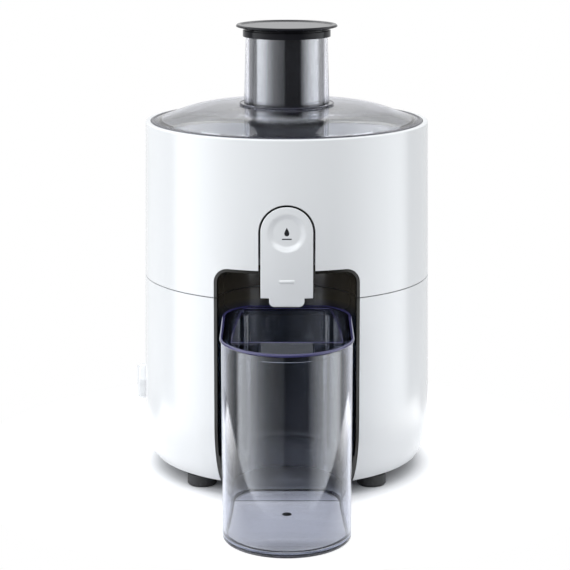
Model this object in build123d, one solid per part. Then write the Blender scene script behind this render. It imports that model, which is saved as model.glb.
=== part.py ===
"""Centrifugal juicer, built from separate pieces.

Millimetres, +Z up, the front of the juicer faces -Y.
The origin is on the counter, under the motor axis.
"""
import os
from math import cos, radians, sin, sqrt

from build123d import *

# ---------------------------------------------------------------- clearances
fit_gap = 0.2           # between two pieces that are assembled and stay put
slide_gap = 0.4         # between two pieces that come apart or slide
run_gap = 0.03          # between a shaft and what it turns in
rest_gap = 0.3          # between a piece and what it stands on, where the two come apart

# ---------------------------------------------------------------- housing
belly_radius = 115.5            # outside, at the widest height
rim_inset = 3.5                 # how much narrower the top rim is
sole_inset = 8.0                # how much narrower the bottom edge is
sole_height = 11.0              # bottom edge above the counter
belly_height = 53.0
seam_height = 158.0             # where the upper housing stands on the base
seam_groove = 0.8               # visible groove between the two halves
shell_wall = 2.6
rim_rise = 13.0                 # top rim above the pulp container's rim
rim_land = 3.8                  # width of the flat rim around the lid
rim_depth = 7.0
sole_round = 1.0
rim_round = 1.2

# ---------------------------------------------------------------- jug bay
bay_back = 50.0                 # from the motor axis forward to the bay's back wall
bay_radius = 56.0
bay_sole_inset = 3.5                 # how much narrower the bay is near the counter
bay_flare_height = 55.0         # height where it reaches its full radius
bay_rise = 23.5                 # ceiling above the seam
bay_corner = 11.4
liner_wall = 2.2
liner_step = 1.0                # raised band round the foot of the lining
liner_band_low = 14.0
liner_band_high = 33.0
liner_recess = 0.4              # the lining's front edge behind the housing's surface

# ---------------------------------------------------------------- base plate, feet and deck
plate_thickness = 2.6
plate_recess = 1.0              # the plate sits above the housing's bottom edge
foot_edge = 12.75               # foot's centre inside the housing's bottom edge
foot_radius = 11.5
foot_neck_gap = 0.55            # between the foot's neck and the inside of the housing
foot_tread_inset = 1.1
foot_tread_round = 1.2
foot_shoulder = 1.5
foot_stem_radius = 4.0
foot_barb_reach = 1.6
foot_barb_height = 2.4
boss_radius = 5.0
boss_edge = 7.5                 # screw boss's centre inside the housing's bottom edge
boss_height = 46.0
boss_angles = (12.0, 62.0, 118.0, 168.0)
screw_radius = 1.75
screw_head_radius = 3.6
screw_head_height = 1.6
screw_length = 16.0
screw_hole_spare = 2.0          # how much deeper the hole is than the screw
vent_count = 7
vent_width = 3.0
vent_length = 52.0
vent_pitch = 8.0
deck_thickness = 3.6
tower_radius = 20.0             # tower that carries the shaft up into the bowl
tower_wall = 3.0
tower_rise = 2.5                # top of the tower above the bay's ceiling
seal_height = 4.0

# ---------------------------------------------------------------- motor, hung under the deck
post_length = 18.5              # deck's posts down to the dampers
damper_radius = 6.0
damper_height = 3.0
mount_circle_radius = 52.0             # radius of the circle of the four motor mounts
mount_arm_width = 14.0
bracket_radius = 44.0
bracket_thickness = 5.0
bracket_boss_wall = 3.0         # round each bearing
bracket_boss_height = 4.5
bearing_radius = 11.0
bearing_width = 7.0
bearing_groove_width = 3.2
bearing_groove_depth = 0.4
shaft_radius = 4.0
shaft_play = 1.0                # round the shaft where it passes a bracket
shaft_tail = 6.0                # shaft below the lower bracket
shaft_chamfer = 0.5
bolt_radius = 2.0
bolt_circle_radius = 37.4
bolt_head_radius = 3.5
bolt_head_height = 3.0
bolt_end = 1.0                  # bolt past the bracket, inside its nut
fan_headroom = 5.0              # fan's top under the upper bracket
fan_radius = 32.0
fan_height = 10.0
fan_floor = 1.6
fan_hub_wall = 4.0
fan_blades = 12
fan_blade_thickness = 1.2
stack_headroom = 11.0           # steel stacks under the fan
stack_height = 40.0
armature_radius = 23.3
armature_slots = 12
armature_slot_depth = 6.0
armature_slot_width = 1.8
air_gap = 0.7
stator_radius = 41.0
stator_yoke = 7.0
pole_width = 18.0
winding_radius = 20.0
winding_core_wall = 2.0
winding_height = 8.0
winding_low_height = 4.0
coil_gap = 1.2                  # between a coil and the armature's bore
coil_depth = 3.4                # along the pole
coil_width = 7.6                # beside and over the pole
commutator_gap = 4.0            # commutator's top under the stack
commutator_radius = 11.0
commutator_height = 11.5
commutator_lift = 1.5           # above the lower bracket
commutator_bars = 12
bar_groove_depth = 0.8
bar_groove_width = 0.6
brush_width = 7.0
brush_length = 17.0
brush_spring_length = 4.5
brush_spring_radius = 2.6
brush_spring_wire = 0.3
brush_spring_turns = 4
brush_gap = 0.05
holder_gap = 3.0                # between a brush holder and the commutator
holder_wall = 2.0

# ---------------------------------------------------------------- drive coupling and filter basket
coupling_lift = 3.0             # above the tower
coupling_height = 14.0
coupling_core_radius = 9.5
coupling_tooth_radius = 13.0
coupling_tooth_width = 4.0
coupling_teeth = 6
socket_lift = 1.0               # basket's socket above the coupling's lower end
hub_lift = 1.0                  # basket's hub above the bowl's tube
hub_thickness = 3.0
hub_wall = 3.2
hub_skirt_wall = 2.4
hub_skirt_depth = 7.0
sieve_low_radius = 36.0
sieve_top_radius = 62.0
sieve_height = 44.0
sieve_wall = 0.8
grater_thickness = 1.2
grater_tooth_height = 1.4
grater_tooth_radius = 1.3
grater_tooth_tip = 0.4
grater_rings = 3
filter_rim_thickness = 3.0
filter_rim_step = 2.0
filter_rim_overhang = 2.0       # past the outside of the bowl's wall

# ---------------------------------------------------------------- bowl and pulp container
bowl_wall = 2.4
bowl_clearance = 7.6            # between the sieve's top edge and the bowl's wall
bowl_floor_lift = 1.5           # bowl floor above the bay's ceiling
bowl_rim_drop = 4.0             # bowl's rim under the sieve's top edge
bowl_tube_wall = 2.2
bowl_tube_rise = 20.6           # above the bowl's floor
pedestal_inset = 7.2            # ring under the bowl's floor, inside the bowl's wall
pulp_wall = 2.2
pulp_gap = 0.9                  # between the container and the lid's skirt
pulp_rise = 14.0                # container's rim above the sieve's top edge
pulp_inner_drop = 4.0           # container's inner wall under the bowl's rim
duct_half_width = 13.5
duct_wall = 2.2
duct_depth = 15.0               # of the downward spout, front to back
duct_height = 20.7              # duct's roof above the bay's ceiling
duct_overlap = 2.0              # how far the duct's walls run into the bowl's

# ---------------------------------------------------------------- spout cover
cover_thickness = 3.0
cover_play = 2.0                # between the cover and the spout behind it
cover_margin = 6.9              # cover's edge past the side of the spout
cover_arch_rise = 29.0          # centre of the arched top above the bay's ceiling
cover_gap = 1.1
cover_lift = 2.0                # cover's shoulders above the seam
cover_edge_round = 0.7
tip_inset = 6.5
tip_length = 6.4                # tip below the cover's shoulders
tip_corner = 4.0
hinge_inset = 4.0               # hinge behind the spout's front wall
hinge_rise = 11.5               # hinge above the bay's ceiling
hinge_pin_radius = 2.2
ear_thickness = 3.2
ear_radius = 4.6
dimple_radius = 14.5
dimple_depth = 1.0
ridge_lift = 13.0               # ridge above the cover's shoulders
ridge_length = 11.5
ridge_width = 3.4
ridge_rise = 0.9
ridge_root = 1.5
stopper_thickness = 2.4
stopper_inset = 1.5
spout_headroom = 4.0            # container's cut-out above the duct's roof
spout_backroom = 2.0            # container's cut-out behind the spout

# ---------------------------------------------------------------- lid, chute and pusher
lid_edge_gap = 0.3
lid_edge_drop = 0.6             # the lid's edge below the rim
lid_wall = 2.4
lid_overhang = 3.0              # lid's edge past its skirt
dome_rise = 12.5                # top of the dome above the rim
chute_bore = 30.5
chute_wall_top = 1.8
chute_wall_low = 3.4            # where the chute meets the dome
chute_wall_end = 2.4
chute_rise = 53.5               # chute's top above the dome
chute_end_gap = 4.3             # the chute's end above the grater's teeth
chute_root_reach = 3.5
chute_root_height = 1.0
skirt_wall = 2.3
skirt_depth = 24.0              # skirt's end below the rim
seal_rib_inset = 0.5
seal_rib_wall = 2.2
gasket_height = 2.7
gasket_lip = 0.3
lug_count = 4
lug_first_angle = 45.0
lug_arc = 16.0
lug_height = 4.7
lug_reach = 3.0
lug_ramp = 1.0
lug_root = 0.5
notch_arc = 19.5
ledge_height = 3.0
plunger_play = 0.6              # between the pusher and the chute's bore
plunger_wall = 2.4
plunger_end_gap = 1.0           # the pusher's end inside the chute's end
plunger_rib_width = 5.0
plunger_rib_rise = 0.3
collar_reach = 2.4              # collar's edge past the chute's
collar_height = 4.7
collar_slope = 1.5
collar_slope_height = 0.4
neck_height = 1.0               # between the collar and the cap
cap_reach = 5.3                 # cap's edge past the collar's
cap_thickness = 3.6
cap_bevel = 1.4
cap_round = 0.8
cap_land = 3.0
cap_slope = 2.0
cap_dish = 0.8
cap_plug_depth = 10.0
cap_plug_lap = 2.0              # pusher's top below the collar's

# ---------------------------------------------------------------- interlock
rod_angle = 162.0
rod_radius = 1.8
rod_inset = 0.9                 # rod's centre inside the lugs' ends
rod_engage = 2.6                # rod's top above the lugs' lower faces
rod_travel = 3.0
rod_chamfer = 0.4
rod_collar_radius = 3.4
rod_collar_height = 2.0
guide_radius = 4.0
guide_height = 7.0
guide_gap = 0.1
guide_lift = 4.0                # lower guide above the floor
guide_drop = 27.0               # upper guide under the lid's ledge
guide_rib = 3.0
spring_length = 24.0
spring_wire = 0.35
spring_turns = 7
sensor_depth = 13.0
sensor_width = 8.0
sensor_height = 14.0
sensor_edge = 2.0               # switch past the rod's centre

# ---------------------------------------------------------------- switch, inlet and small parts
knob_height = 66.0
knob_radius = 14.5
knob_reach = 6.6                # knob face in front of the housing
knob_gap = 0.6
knob_round = 1.6
knob_grip_width = 4.0
knob_grip_rise = 1.8
knob_grip_inset = 1.5
knob_grip_round = 1.2
knob_stem_radius = 3.0
knob_stem_length = 3.0
knob_well_wall = 2.2
knob_depth = 4.0                # knob body inside the housing
switch_depth = 14.0
switch_width = 30.0
inlet_height = 34.0
inlet_bore = 3.6
inlet_wall = 2.6
inlet_flange_radius = 9.0
inlet_flange = 2.4
inlet_nose = 3.0
inlet_lip = 1.4
inlet_lip_set = 0.8
clamp_setback = 14.0            # behind the inside of the wall
clamp_width = 20.0
clamp_depth = 10.0
clamp_cover = 3.0
terminal_x = 36.0
terminal_edge = 42.5            # terminal block's centre inside the housing's bottom edge
terminal_width = 24.0
terminal_depth = 14.0
terminal_height = 16.0
terminal_count = 3
terminal_pitch = 7.0
terminal_hole = 1.6
suppressor_x = -36.0
suppressor_edge = 39.5          # suppressor's centre inside the housing's bottom edge
suppressor_radius = 9.0
suppressor_length = 28.0
suppressor_foot = 10.0
suppressor_foot_inset = 2.0

# ---------------------------------------------------------------- jug
jug_headroom = 4.4              # jug's top under the cover's tip
jug_back = 90.0                 # back face, forward of the motor axis
jug_back_half_width = 31.0
jug_half_width = 47.3
jug_corner_depth = 38.0         # the rounded back corners, back to front
jug_corner_bow = 3.2
jug_side_length = 62.0
jug_nose_depth = 51.0           # the rounded front
jug_wall = 2.2
jug_floor = 3.0
jug_edge_round = 2.0
jug_lid_thickness = 2.2
jug_lid_rim_depth = 4.0
jug_lid_rim_wall = 1.6
mouth_back_edge = 7.0           # mouth inside the jug's back face
mouth_front_edge = 36.0         # mouth inside the jug's front
mouth_back_half_width = 33.0
mouth_front_half_width = 39.5
mouth_bow = 1.6                 # how far the mouth's sides bow outwards
separator_wall = 1.6
separator_gap = 0.6             # between the separator and the jug's wall
separator_end = 32.0            # height of the separator's lower edge

# ---------------------------------------------------------------- values worked out from those above
# housing and bay
rim_radius = belly_radius - rim_inset
sole_radius = belly_radius - sole_inset
base_top = seam_height - seam_groove / 2
upper_bottom = seam_height + seam_groove / 2
floor_high = upper_bottom + shell_wall
bay_setback = bay_back + bay_radius
bay_sole_radius = bay_radius - bay_sole_inset
bay_ceiling = seam_height + bay_rise
rim_bore = rim_radius - rim_land
# plate, feet and deck
plate_low = sole_height + plate_recess
plate_high = plate_low + plate_thickness
foot_circle = sole_radius - foot_edge
foot_neck_radius = foot_edge - shell_wall - foot_neck_gap
boss_circle = sole_radius - boss_edge
terminal_y = sole_radius - terminal_edge
suppressor_y = sole_radius - suppressor_edge
deck_high = upper_bottom - rest_gap
deck_low = deck_high - deck_thickness
tower_top = bay_ceiling + tower_rise
# motor, from the deck down
damper_high = deck_low - post_length
upper_bracket_high = damper_high - damper_height
upper_bracket_low = upper_bracket_high - bracket_thickness
fan_low = upper_bracket_low - fan_headroom - fan_height
stack_high = fan_low - stack_headroom
stack_low = stack_high - stack_height
commutator_high = stack_low - commutator_gap
commutator_low = commutator_high - commutator_height
brush_height = (commutator_low + commutator_high) / 2
lower_bracket_high = commutator_low - commutator_lift
lower_bracket_low = lower_bracket_high - bracket_thickness
shaft_low = lower_bracket_low - shaft_tail
# coupling, bowl and basket, from the bay's ceiling up
coupling_low = tower_top + coupling_lift
coupling_high = coupling_low + coupling_height
tube_bore = tower_radius + slide_gap
bowl_floor_low = bay_ceiling + bowl_floor_lift
bowl_floor_high = bowl_floor_low + bowl_wall
bowl_tube_top = bowl_floor_high + bowl_tube_rise
bowl_inner_radius = sieve_top_radius + bowl_clearance
bowl_radius = bowl_inner_radius + bowl_wall
pedestal_radius = bowl_inner_radius - pedestal_inset
hub_low = bowl_tube_top + hub_lift
hub_high = hub_low + hub_thickness
sieve_high = hub_high + sieve_height
teeth_top = hub_high + grater_thickness + grater_tooth_height
filter_rim_radius = bowl_radius + filter_rim_overhang
bowl_rim_height = sieve_high - bowl_rim_drop
pulp_rim_height = sieve_high + pulp_rise
pulp_inner_rim_height = bowl_rim_height - pulp_inner_drop
rim_height = pulp_rim_height + rim_rise
# spout and its cover
duct_front = rim_radius - cover_thickness - cover_play
duct_floor_low = bay_ceiling + rest_gap
duct_roof = bay_ceiling + duct_height
spout_bottom = seam_height
cover_half_width = duct_half_width + cover_margin
cover_arch_height = bay_ceiling + cover_arch_rise
cover_bottom = upper_bottom + cover_lift
tip_half_width = cover_half_width - tip_inset
tip_bottom = cover_bottom - tip_length
hinge_setback = duct_front - hinge_inset
hinge_height = bay_ceiling + hinge_rise
ridge_height = cover_bottom + ridge_lift
stopper_half_width = duct_half_width - stopper_inset
# lid, chute and pusher
lid_radius = rim_bore - lid_edge_gap
lid_edge_height = rim_height - lid_edge_drop
dome_height = rim_height + dome_rise
skirt_radius = lid_radius - lid_overhang
skirt_inner = skirt_radius - skirt_wall
skirt_bottom = rim_height - skirt_depth
lug_radius = skirt_radius + lug_reach
ledge_low = skirt_bottom + lug_height + rest_gap
ledge_bore = skirt_radius + slide_gap
pulp_outer_radius = skirt_inner - pulp_gap
seal_rib_radius = pulp_outer_radius - seal_rib_inset
gasket_low = pulp_rim_height + rest_gap
gasket_high = gasket_low + gasket_height
chute_radius_low = chute_bore + chute_wall_low
chute_radius_top = chute_bore + chute_wall_top
chute_root_radius = chute_radius_low + chute_root_reach
chute_top = dome_height + chute_rise
chute_end = teeth_top + chute_end_gap
plunger_radius = chute_bore - plunger_play
plunger_end = chute_end - plunger_end_gap
collar_radius = chute_radius_top + collar_reach
collar_low = chute_top + rest_gap
collar_high = collar_low + collar_height
plunger_top = collar_high - cap_plug_lap
cap_radius = collar_radius + cap_reach
cap_low = collar_high + neck_height
cap_high = cap_low + cap_thickness
# interlock
rod_circle = lug_radius - rod_inset
rod_top = skirt_bottom + rod_engage
guide_low = floor_high + guide_lift
guide_high = ledge_low - guide_drop
# inlet and jug
inlet_face = belly_radius
jug_height = tip_bottom - jug_headroom
jug_body_top = jug_height - jug_lid_thickness
jug_shoulder = jug_back + jug_corner_depth
jug_side_end = jug_shoulder + jug_side_length
jug_front = jug_side_end + jug_nose_depth
mouth_back = jug_back + mouth_back_edge
mouth_front = jug_front - mouth_front_edge
far = 4 * belly_radius          # longer than anything that it cuts
past = 1.0                      # how far a cut or a joint runs past a face

on_base = (Align.CENTER, Align.CENTER, Align.MIN)
bay_place = Pos(0, -bay_setback, 0)


# ---------------------------------------------------------------- shapes that many pieces use
def disc(radius, low, high, x=0.0, y=0.0):
    """Upright cylinder between two heights."""
    return Pos(x, y, low) * Cylinder(radius, high - low, align=on_base)


def ring(outer, inner, low, high, x=0.0, y=0.0):
    """Upright tube between two heights."""
    return disc(outer, low, high, x, y) - disc(inner, low, high, x, y)


def block(x_low, x_high, y_low, y_high, z_low, z_high):
    """Box between its lowest and highest corners."""
    centre = Pos((x_low + x_high) / 2, (y_low + y_high) / 2, (z_low + z_high) / 2)
    return centre * Box(x_high - x_low, y_high - y_low, z_high - z_low)


def polar(radius, angle):
    """Point on a circle about the motor axis."""
    return radius * cos(radians(angle)), radius * sin(radians(angle))


def turned(edges):
    """Solid of revolution about Z of a closed section in the XZ plane."""
    return revolve(make_face(edges), Axis.Z)


def turned_polygon(*points):
    """Solid of revolution of straight runs through (radius, height) points."""
    return turned([Polyline(*[(r, 0, z) for r, z in points], close=True)])


def sector(outer, inner, low, high, middle, arc):
    """Part of an upright tube, arc degrees long about its middle angle."""
    section = Polyline((inner, 0, low), (outer, 0, low), (outer, 0, high), (inner, 0, high), close=True)
    return Rot(0, 0, middle - arc / 2) * revolve(make_face([section]), Axis.Z, arc)


def along_x(radius, x_low, x_high, y, z):
    """Cylinder along X."""
    return Pos((x_low + x_high) / 2, y, z) * Rot(0, 90, 0) * Cylinder(radius, x_high - x_low)


def along_y(radius, y_low, y_high, x, z):
    """Cylinder along Y."""
    return Pos(x, (y_low + y_high) / 2, z) * Rot(90, 0, 0) * Cylinder(radius, y_high - y_low)


def joined(pieces):
    """All the given solids together."""
    whole = Part()
    for piece in pieces:
        whole += piece
    return whole


# ---------------------------------------------------------------- housing shapes
def housing_radius(height):
    """Outside radius of the housing at a height above its belly."""
    share = (height - belly_height) / (rim_height - belly_height)
    return belly_radius + (rim_radius - belly_radius) * share


def housing_core(inset):
    """Everything inside the housing's surface moved in by inset, from the bottom edge up past the rim."""
    sole = (sole_radius - inset, 0, sole_height)
    belly = (belly_radius - inset, 0, belly_height)
    top = (rim_radius - inset, 0, rim_height)
    side = Spline(sole, belly, tangents=[(0.62, 0, 0.78), (-0.01, 0, 1)])
    return turned([
        Line((0, 0, sole_height), sole),
        side,
        Line(belly, top),
        Line(top, (0, 0, rim_height)),
        Line((0, 0, rim_height), (0, 0, sole_height)),
    ])


def slab(low, high):
    """Everything between two heights."""
    return disc(far, low, high)


def bay_core(grow):
    """The jug bay, with its walls and ceiling moved out by grow. It is open at the front and below."""
    low_radius = bay_sole_radius + grow
    radius = bay_radius + grow
    ceiling = bay_ceiling + grow
    corner = bay_corner + grow
    low_point = (low_radius, 0, sole_height)
    full_point = (radius, 0, bay_flare_height)
    corner_low = (radius, 0, ceiling - corner)
    corner_high = (radius - corner, 0, ceiling)
    corner_cut = corner * (1 - sqrt(0.5))
    corner_middle = (radius - corner_cut, 0, ceiling - corner_cut)
    return bay_place * turned([
        Line((0, 0, -1), (low_radius, 0, -1)),
        Line((low_radius, 0, -1), low_point),
        Spline(low_point, full_point, tangents=[(0.14, 0, 0.99), (0, 0, 1)]),
        Line(full_point, corner_low),
        ThreePointArc(corner_low, corner_middle, corner_high),
        Line(corner_high, (0, 0, ceiling)),
        Line((0, 0, ceiling), (0, 0, -1)),
    ])


def arch(half_width, low):
    """Upright arched opening through the front: straight sides under a half circle."""
    front = -(belly_radius + cover_thickness)
    back = -(duct_front - hinge_inset / 2)
    sides = block(-half_width, half_width, front, back, low, cover_arch_height)
    return sides + along_y(half_width, front, back, 0, cover_arch_height)


def boss_places():
    """Centres of the screw bosses in the base."""
    return [polar(boss_circle, angle) for angle in boss_angles]


def foot_places():
    """Names and centres of the four feet."""
    half = foot_circle / sqrt(2)
    return {
        "foot_front_left": (-half, -half),
        "foot_front_right": (half, -half),
        "foot_back_left": (-half, half),
        "foot_back_right": (half, half),
    }


def mount_places():
    """Centres of the four motor mounts."""
    return [polar(mount_circle_radius, 45 + 90 * i) for i in range(4)]


def bolt_places():
    """Centres of the motor's through bolts."""
    return [polar(bolt_circle_radius, 45 + 90 * i) for i in range(4)]


# ---------------------------------------------------------------- base
def base_shell():
    """Lower half of the white housing."""
    outside = housing_core(0)
    sole_edge = outside.edges().filter_by(GeomType.CIRCLE).group_by(Axis.Z)[0]
    outside = fillet(sole_edge, sole_round)
    shell = (outside - housing_core(shell_wall)) & slab(sole_height, base_top)
    inside = housing_core(shell_wall / 2)
    for angle, (x, y) in zip(boss_angles, boss_places()):
        boss = disc(boss_radius, plate_high, boss_height, x, y)
        rib = block(boss_circle, belly_radius, -boss_radius / 2, boss_radius / 2, plate_high, boss_height)
        shell += (boss + Rot(0, 0, angle) * rib) & inside
        shell -= disc(screw_radius - fit_gap / 2, plate_high, plate_high + screw_length, x, y)
    well_back = -(housing_radius(knob_height) - shell_wall - knob_depth)
    well = along_x(knob_radius + knob_gap + knob_well_wall, -belly_radius, well_back, 0, knob_height)
    shell += well & inside
    shell -= along_x(knob_radius + knob_gap, -far, well_back, 0, knob_height)
    shell -= along_y(inlet_bore + inlet_wall, 0, far, 0, inlet_height)
    return shell - bay_core(0)


def base_plate():
    """Bottom cover, screwed to the shell from below."""
    plate = housing_core(shell_wall + fit_gap) & slab(plate_low, plate_high)
    for x, y in boss_places():
        plate -= disc(screw_radius + fit_gap, plate_low, plate_high, x, y)
    for x, y in foot_places().values():
        plate -= disc(foot_stem_radius, plate_low, plate_high, x, y)
    for i in range(vent_count):
        x = (i - (vent_count - 1) / 2) * vent_pitch
        half = vent_length / 2
        plate -= block(x - vent_width / 2, x + vent_width / 2, -half, half, plate_low, plate_high)
    return plate - bay_core(0)


def foot(x, y):
    """Rubber foot with a stem that snaps through the bottom cover."""
    shoulder = sole_height - rest_gap
    profile = turned_polygon(
        (0, 0),
        (foot_radius - foot_tread_inset, 0),
        (foot_radius, foot_tread_round),
        (foot_radius, shoulder - foot_shoulder),
        (foot_neck_radius, shoulder),
        (foot_neck_radius, plate_low),
        (foot_stem_radius, plate_low),
        (foot_stem_radius, plate_high),
        (foot_stem_radius + foot_barb_reach, plate_high),
        (foot_stem_radius, plate_high + foot_barb_height),
        (0, plate_high + foot_barb_height),
    )
    return Pos(x, y, 0) * profile


def base_screws():
    """Screws that hold the bottom cover."""
    screws = []
    for x, y in boss_places():
        head = disc(screw_head_radius, plate_low - screw_head_height, plate_low, x, y)
        recess = disc(screw_radius, plate_low - screw_head_height, plate_low - screw_head_height / 2, x, y)
        tip = plate_high + screw_length - screw_hole_spare
        shank = disc(screw_radius - fit_gap / 2, plate_low, tip, x, y)
        screws.append(head - recess + shank)
    return joined(screws)


def bay_liner():
    """Dark lining of the jug bay in the base."""
    outside = bay_core(-fit_gap)
    inside = bay_core(-fit_gap - liner_wall)
    band = (outside - bay_core(-fit_gap - liner_wall - liner_step)) & slab(liner_band_low, liner_band_high)
    lining = ((outside - inside) & slab(sole_height, base_top)) + band
    return lining & housing_core(liner_recess)


def base_deck():
    """Floor over the motor, with the tower that the shaft comes out of."""
    deck = housing_core(shell_wall + fit_gap) & slab(deck_low, deck_high)
    deck += disc(tower_radius, deck_high, tower_top)
    deck -= disc(tower_radius - tower_wall, deck_low, tower_top)
    for x, y in mount_places():
        deck += disc(damper_radius, damper_high, deck_low, x, y)
        deck -= disc(bolt_radius, damper_high, deck_low, x, y)
    deck -= disc(rod_radius + slide_gap, deck_low, deck_high, *polar(rod_circle, rod_angle))
    return deck - bay_core(0)


def shaft_seal():
    """Rubber seal at the top of the tower."""
    outer = tower_radius - tower_wall - run_gap
    return ring(outer, shaft_radius + run_gap, tower_top - seal_height, tower_top)


# ---------------------------------------------------------------- motor, fixed pieces
def motor_upper_bracket():
    """Plate that hangs the motor from the deck and holds the upper bearing."""
    bracket = disc(bracket_radius, upper_bracket_low, upper_bracket_high)
    for i in range(4):
        arm = block(0, mount_circle_radius, -mount_arm_width / 2, mount_arm_width / 2,
                    upper_bracket_low, upper_bracket_high)
        bracket += Rot(0, 0, 45 + 90 * i) * arm
    for x, y in mount_places():
        bracket += disc(mount_arm_width / 2, upper_bracket_low, upper_bracket_high, x, y)
        bracket -= disc(bolt_radius, upper_bracket_low, upper_bracket_high, x, y)
    boss_high = upper_bracket_high + bracket_boss_height
    bracket += disc(bearing_radius + bracket_boss_wall, upper_bracket_high, boss_high)
    for x, y in bolt_places():
        bracket -= disc(bolt_radius + run_gap, upper_bracket_low, upper_bracket_high, x, y)
    bracket -= disc(bearing_radius + run_gap, upper_bracket_low, upper_bracket_low + bearing_width)
    return bracket - disc(shaft_radius + shaft_play, upper_bracket_low, boss_high)


def motor_lower_bracket():
    """Plate under the motor that holds the lower bearing and the brush holders."""
    bracket = disc(bracket_radius, lower_bracket_low, lower_bracket_high)
    boss_low = lower_bracket_low - bracket_boss_height
    bracket += disc(bearing_radius + bracket_boss_wall, boss_low, lower_bracket_low)
    for x, y in bolt_places():
        bracket -= disc(bolt_radius + run_gap, lower_bracket_low, lower_bracket_high, x, y)
    bracket -= disc(bearing_radius + run_gap, lower_bracket_high - bearing_width, lower_bracket_high)
    return bracket - disc(shaft_radius + shaft_play, boss_low, lower_bracket_high)


def bearing(low):
    """Ball bearing, with its two rings and shields as one body."""
    race = ring(bearing_radius, shaft_radius + run_gap, low, low + bearing_width)
    middle = (bearing_radius + shaft_radius) / 2
    half = bearing_groove_width / 2
    groove = ring(middle + half, middle - half, low, low + bearing_groove_depth)
    return race - groove


def stator_core():
    """Laminated stack with two poles."""
    bore = armature_radius + air_gap
    yoke_bore = stator_radius - stator_yoke
    core = ring(stator_radius, yoke_bore, stack_low, stack_high)
    half = pole_width / 2
    reach = yoke_bore + past
    poles = block(-half, half, -reach, reach, stack_low, stack_high)
    core += poles & disc(reach, stack_low, stack_high)
    core -= disc(bore, stack_low, stack_high)
    for x, y in bolt_places():
        core -= disc(bolt_radius + run_gap, stack_low, stack_high, x, y)
    return core


def field_coils():
    """Copper coils round the two poles."""
    inner = armature_radius + air_gap + coil_gap
    half = pole_width / 2 + fit_gap
    coils = []
    for side in (-1, 1):
        y_low, y_high = sorted((side * inner, side * (inner + coil_depth)))
        outside = block(-half - coil_width, half + coil_width, y_low, y_high,
                        stack_low - coil_width, stack_high + coil_width)
        hole = block(-half, half, y_low, y_high, stack_low - fit_gap, stack_high + fit_gap)
        coils.append(outside - hole)
    return joined(coils)


def brush_holders():
    """Two insulated boxes that guide the brushes."""
    inner = commutator_radius + holder_gap
    outer = commutator_radius + brush_length + brush_spring_length + holder_wall
    half = brush_width / 2 + brush_gap
    holders = []
    for side in (-1, 1):
        x_low, x_high = sorted((side * inner, side * outer))
        box = block(x_low, x_high, -half - holder_wall, half + holder_wall,
                    lower_bracket_high, brush_height + half + holder_wall)
        channel_end = side * (outer - holder_wall)
        c_low, c_high = sorted((side * inner, channel_end))
        holders.append(box - block(c_low, c_high, -half, half, brush_height - half, brush_height + half))
    return joined(holders)


def brushes():
    """Two carbon brushes on the commutator."""
    half = brush_width / 2
    bars = []
    for side in (-1, 1):
        inner = side * (commutator_radius - past)
        x_low, x_high = sorted((inner, side * (commutator_radius + brush_length)))
        bars.append(block(x_low, x_high, -half, half, brush_height - half, brush_height + half))
    return joined(bars) - disc(commutator_radius + run_gap, commutator_low, commutator_high)


def coil_spring(radius, wire, length, turns):
    """Round wire spring standing on the XY plane, its wire centre from wire to length - wire."""
    height = length - 2 * wire
    path = Pos(0, 0, wire) * Helix(height / turns, height, radius)
    start = Plane(path @ 0, z_dir=path % 0)
    return sweep(start * Circle(wire), path=path, is_frenet=True)


def brush_springs():
    """Springs behind the brushes."""
    start = commutator_radius + brush_length
    spring = coil_spring(brush_spring_radius, brush_spring_wire, brush_spring_length, brush_spring_turns)
    return joined([
        Pos(start, 0, brush_height) * Rot(0, 90, 0) * spring,
        Pos(-start, 0, brush_height) * Rot(0, -90, 0) * spring,
    ])


def motor_bolts():
    """Through bolts that clamp the brackets to the stator."""
    bolts = []
    for x, y in bolt_places():
        shank = disc(bolt_radius, lower_bracket_low, upper_bracket_high + bolt_end, x, y)
        head = disc(bolt_head_radius, lower_bracket_low - bolt_head_height, lower_bracket_low, x, y)
        nut = disc(bolt_head_radius, upper_bracket_high, upper_bracket_high + bolt_head_height, x, y)
        bolts.append(shank + head + nut)
    return joined(bolts)


def motor_dampers():
    """Rubber bushes between the motor and the deck."""
    bushes = []
    for x, y in mount_places():
        bushes.append(ring(damper_radius, bolt_radius, upper_bracket_high, damper_high, x, y))
    return joined(bushes)


def motor_mount_screws():
    """Screws that hold the motor up to the deck's posts."""
    screws = []
    for x, y in mount_places():
        head = disc(bolt_head_radius, upper_bracket_low - bolt_head_height, upper_bracket_low, x, y)
        shank = disc(bolt_radius - run_gap, upper_bracket_low, deck_low - screw_hole_spare, x, y)
        screws.append(head + shank)
    return joined(screws)


# ---------------------------------------------------------------- motor, turning pieces
def motor_shaft():
    """Steel shaft from the lower bearing to the drive coupling."""
    shaft = disc(shaft_radius, shaft_low, coupling_high)
    return chamfer(shaft.edges().filter_by(GeomType.CIRCLE), shaft_chamfer)


def armature_core():
    """Slotted steel stack."""
    core = ring(armature_radius, shaft_radius + run_gap, stack_low, stack_high)
    half = armature_slot_width / 2
    slot = block(armature_radius - armature_slot_depth, armature_radius + past, -half, half,
                 stack_low, stack_high)
    for i in range(armature_slots):
        core -= Rot(0, 0, 360 / armature_slots * i) * slot
    return core


def armature_windings():
    """End turns above and below the stack."""
    inner = shaft_radius + winding_core_wall
    low = ring(winding_radius, inner, stack_low - winding_low_height, stack_low)
    high = ring(winding_radius, inner, stack_high, stack_high + winding_height)
    return low + high


def commutator():
    """Copper commutator."""
    bars = ring(commutator_radius, shaft_radius + run_gap, commutator_low, commutator_high)
    half = bar_groove_width / 2
    groove = block(commutator_radius - bar_groove_depth, commutator_radius + past, -half, half,
                   commutator_low, commutator_high)
    for i in range(commutator_bars):
        bars -= Rot(0, 0, 360 / commutator_bars * (i + 0.5)) * groove
    return bars


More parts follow.
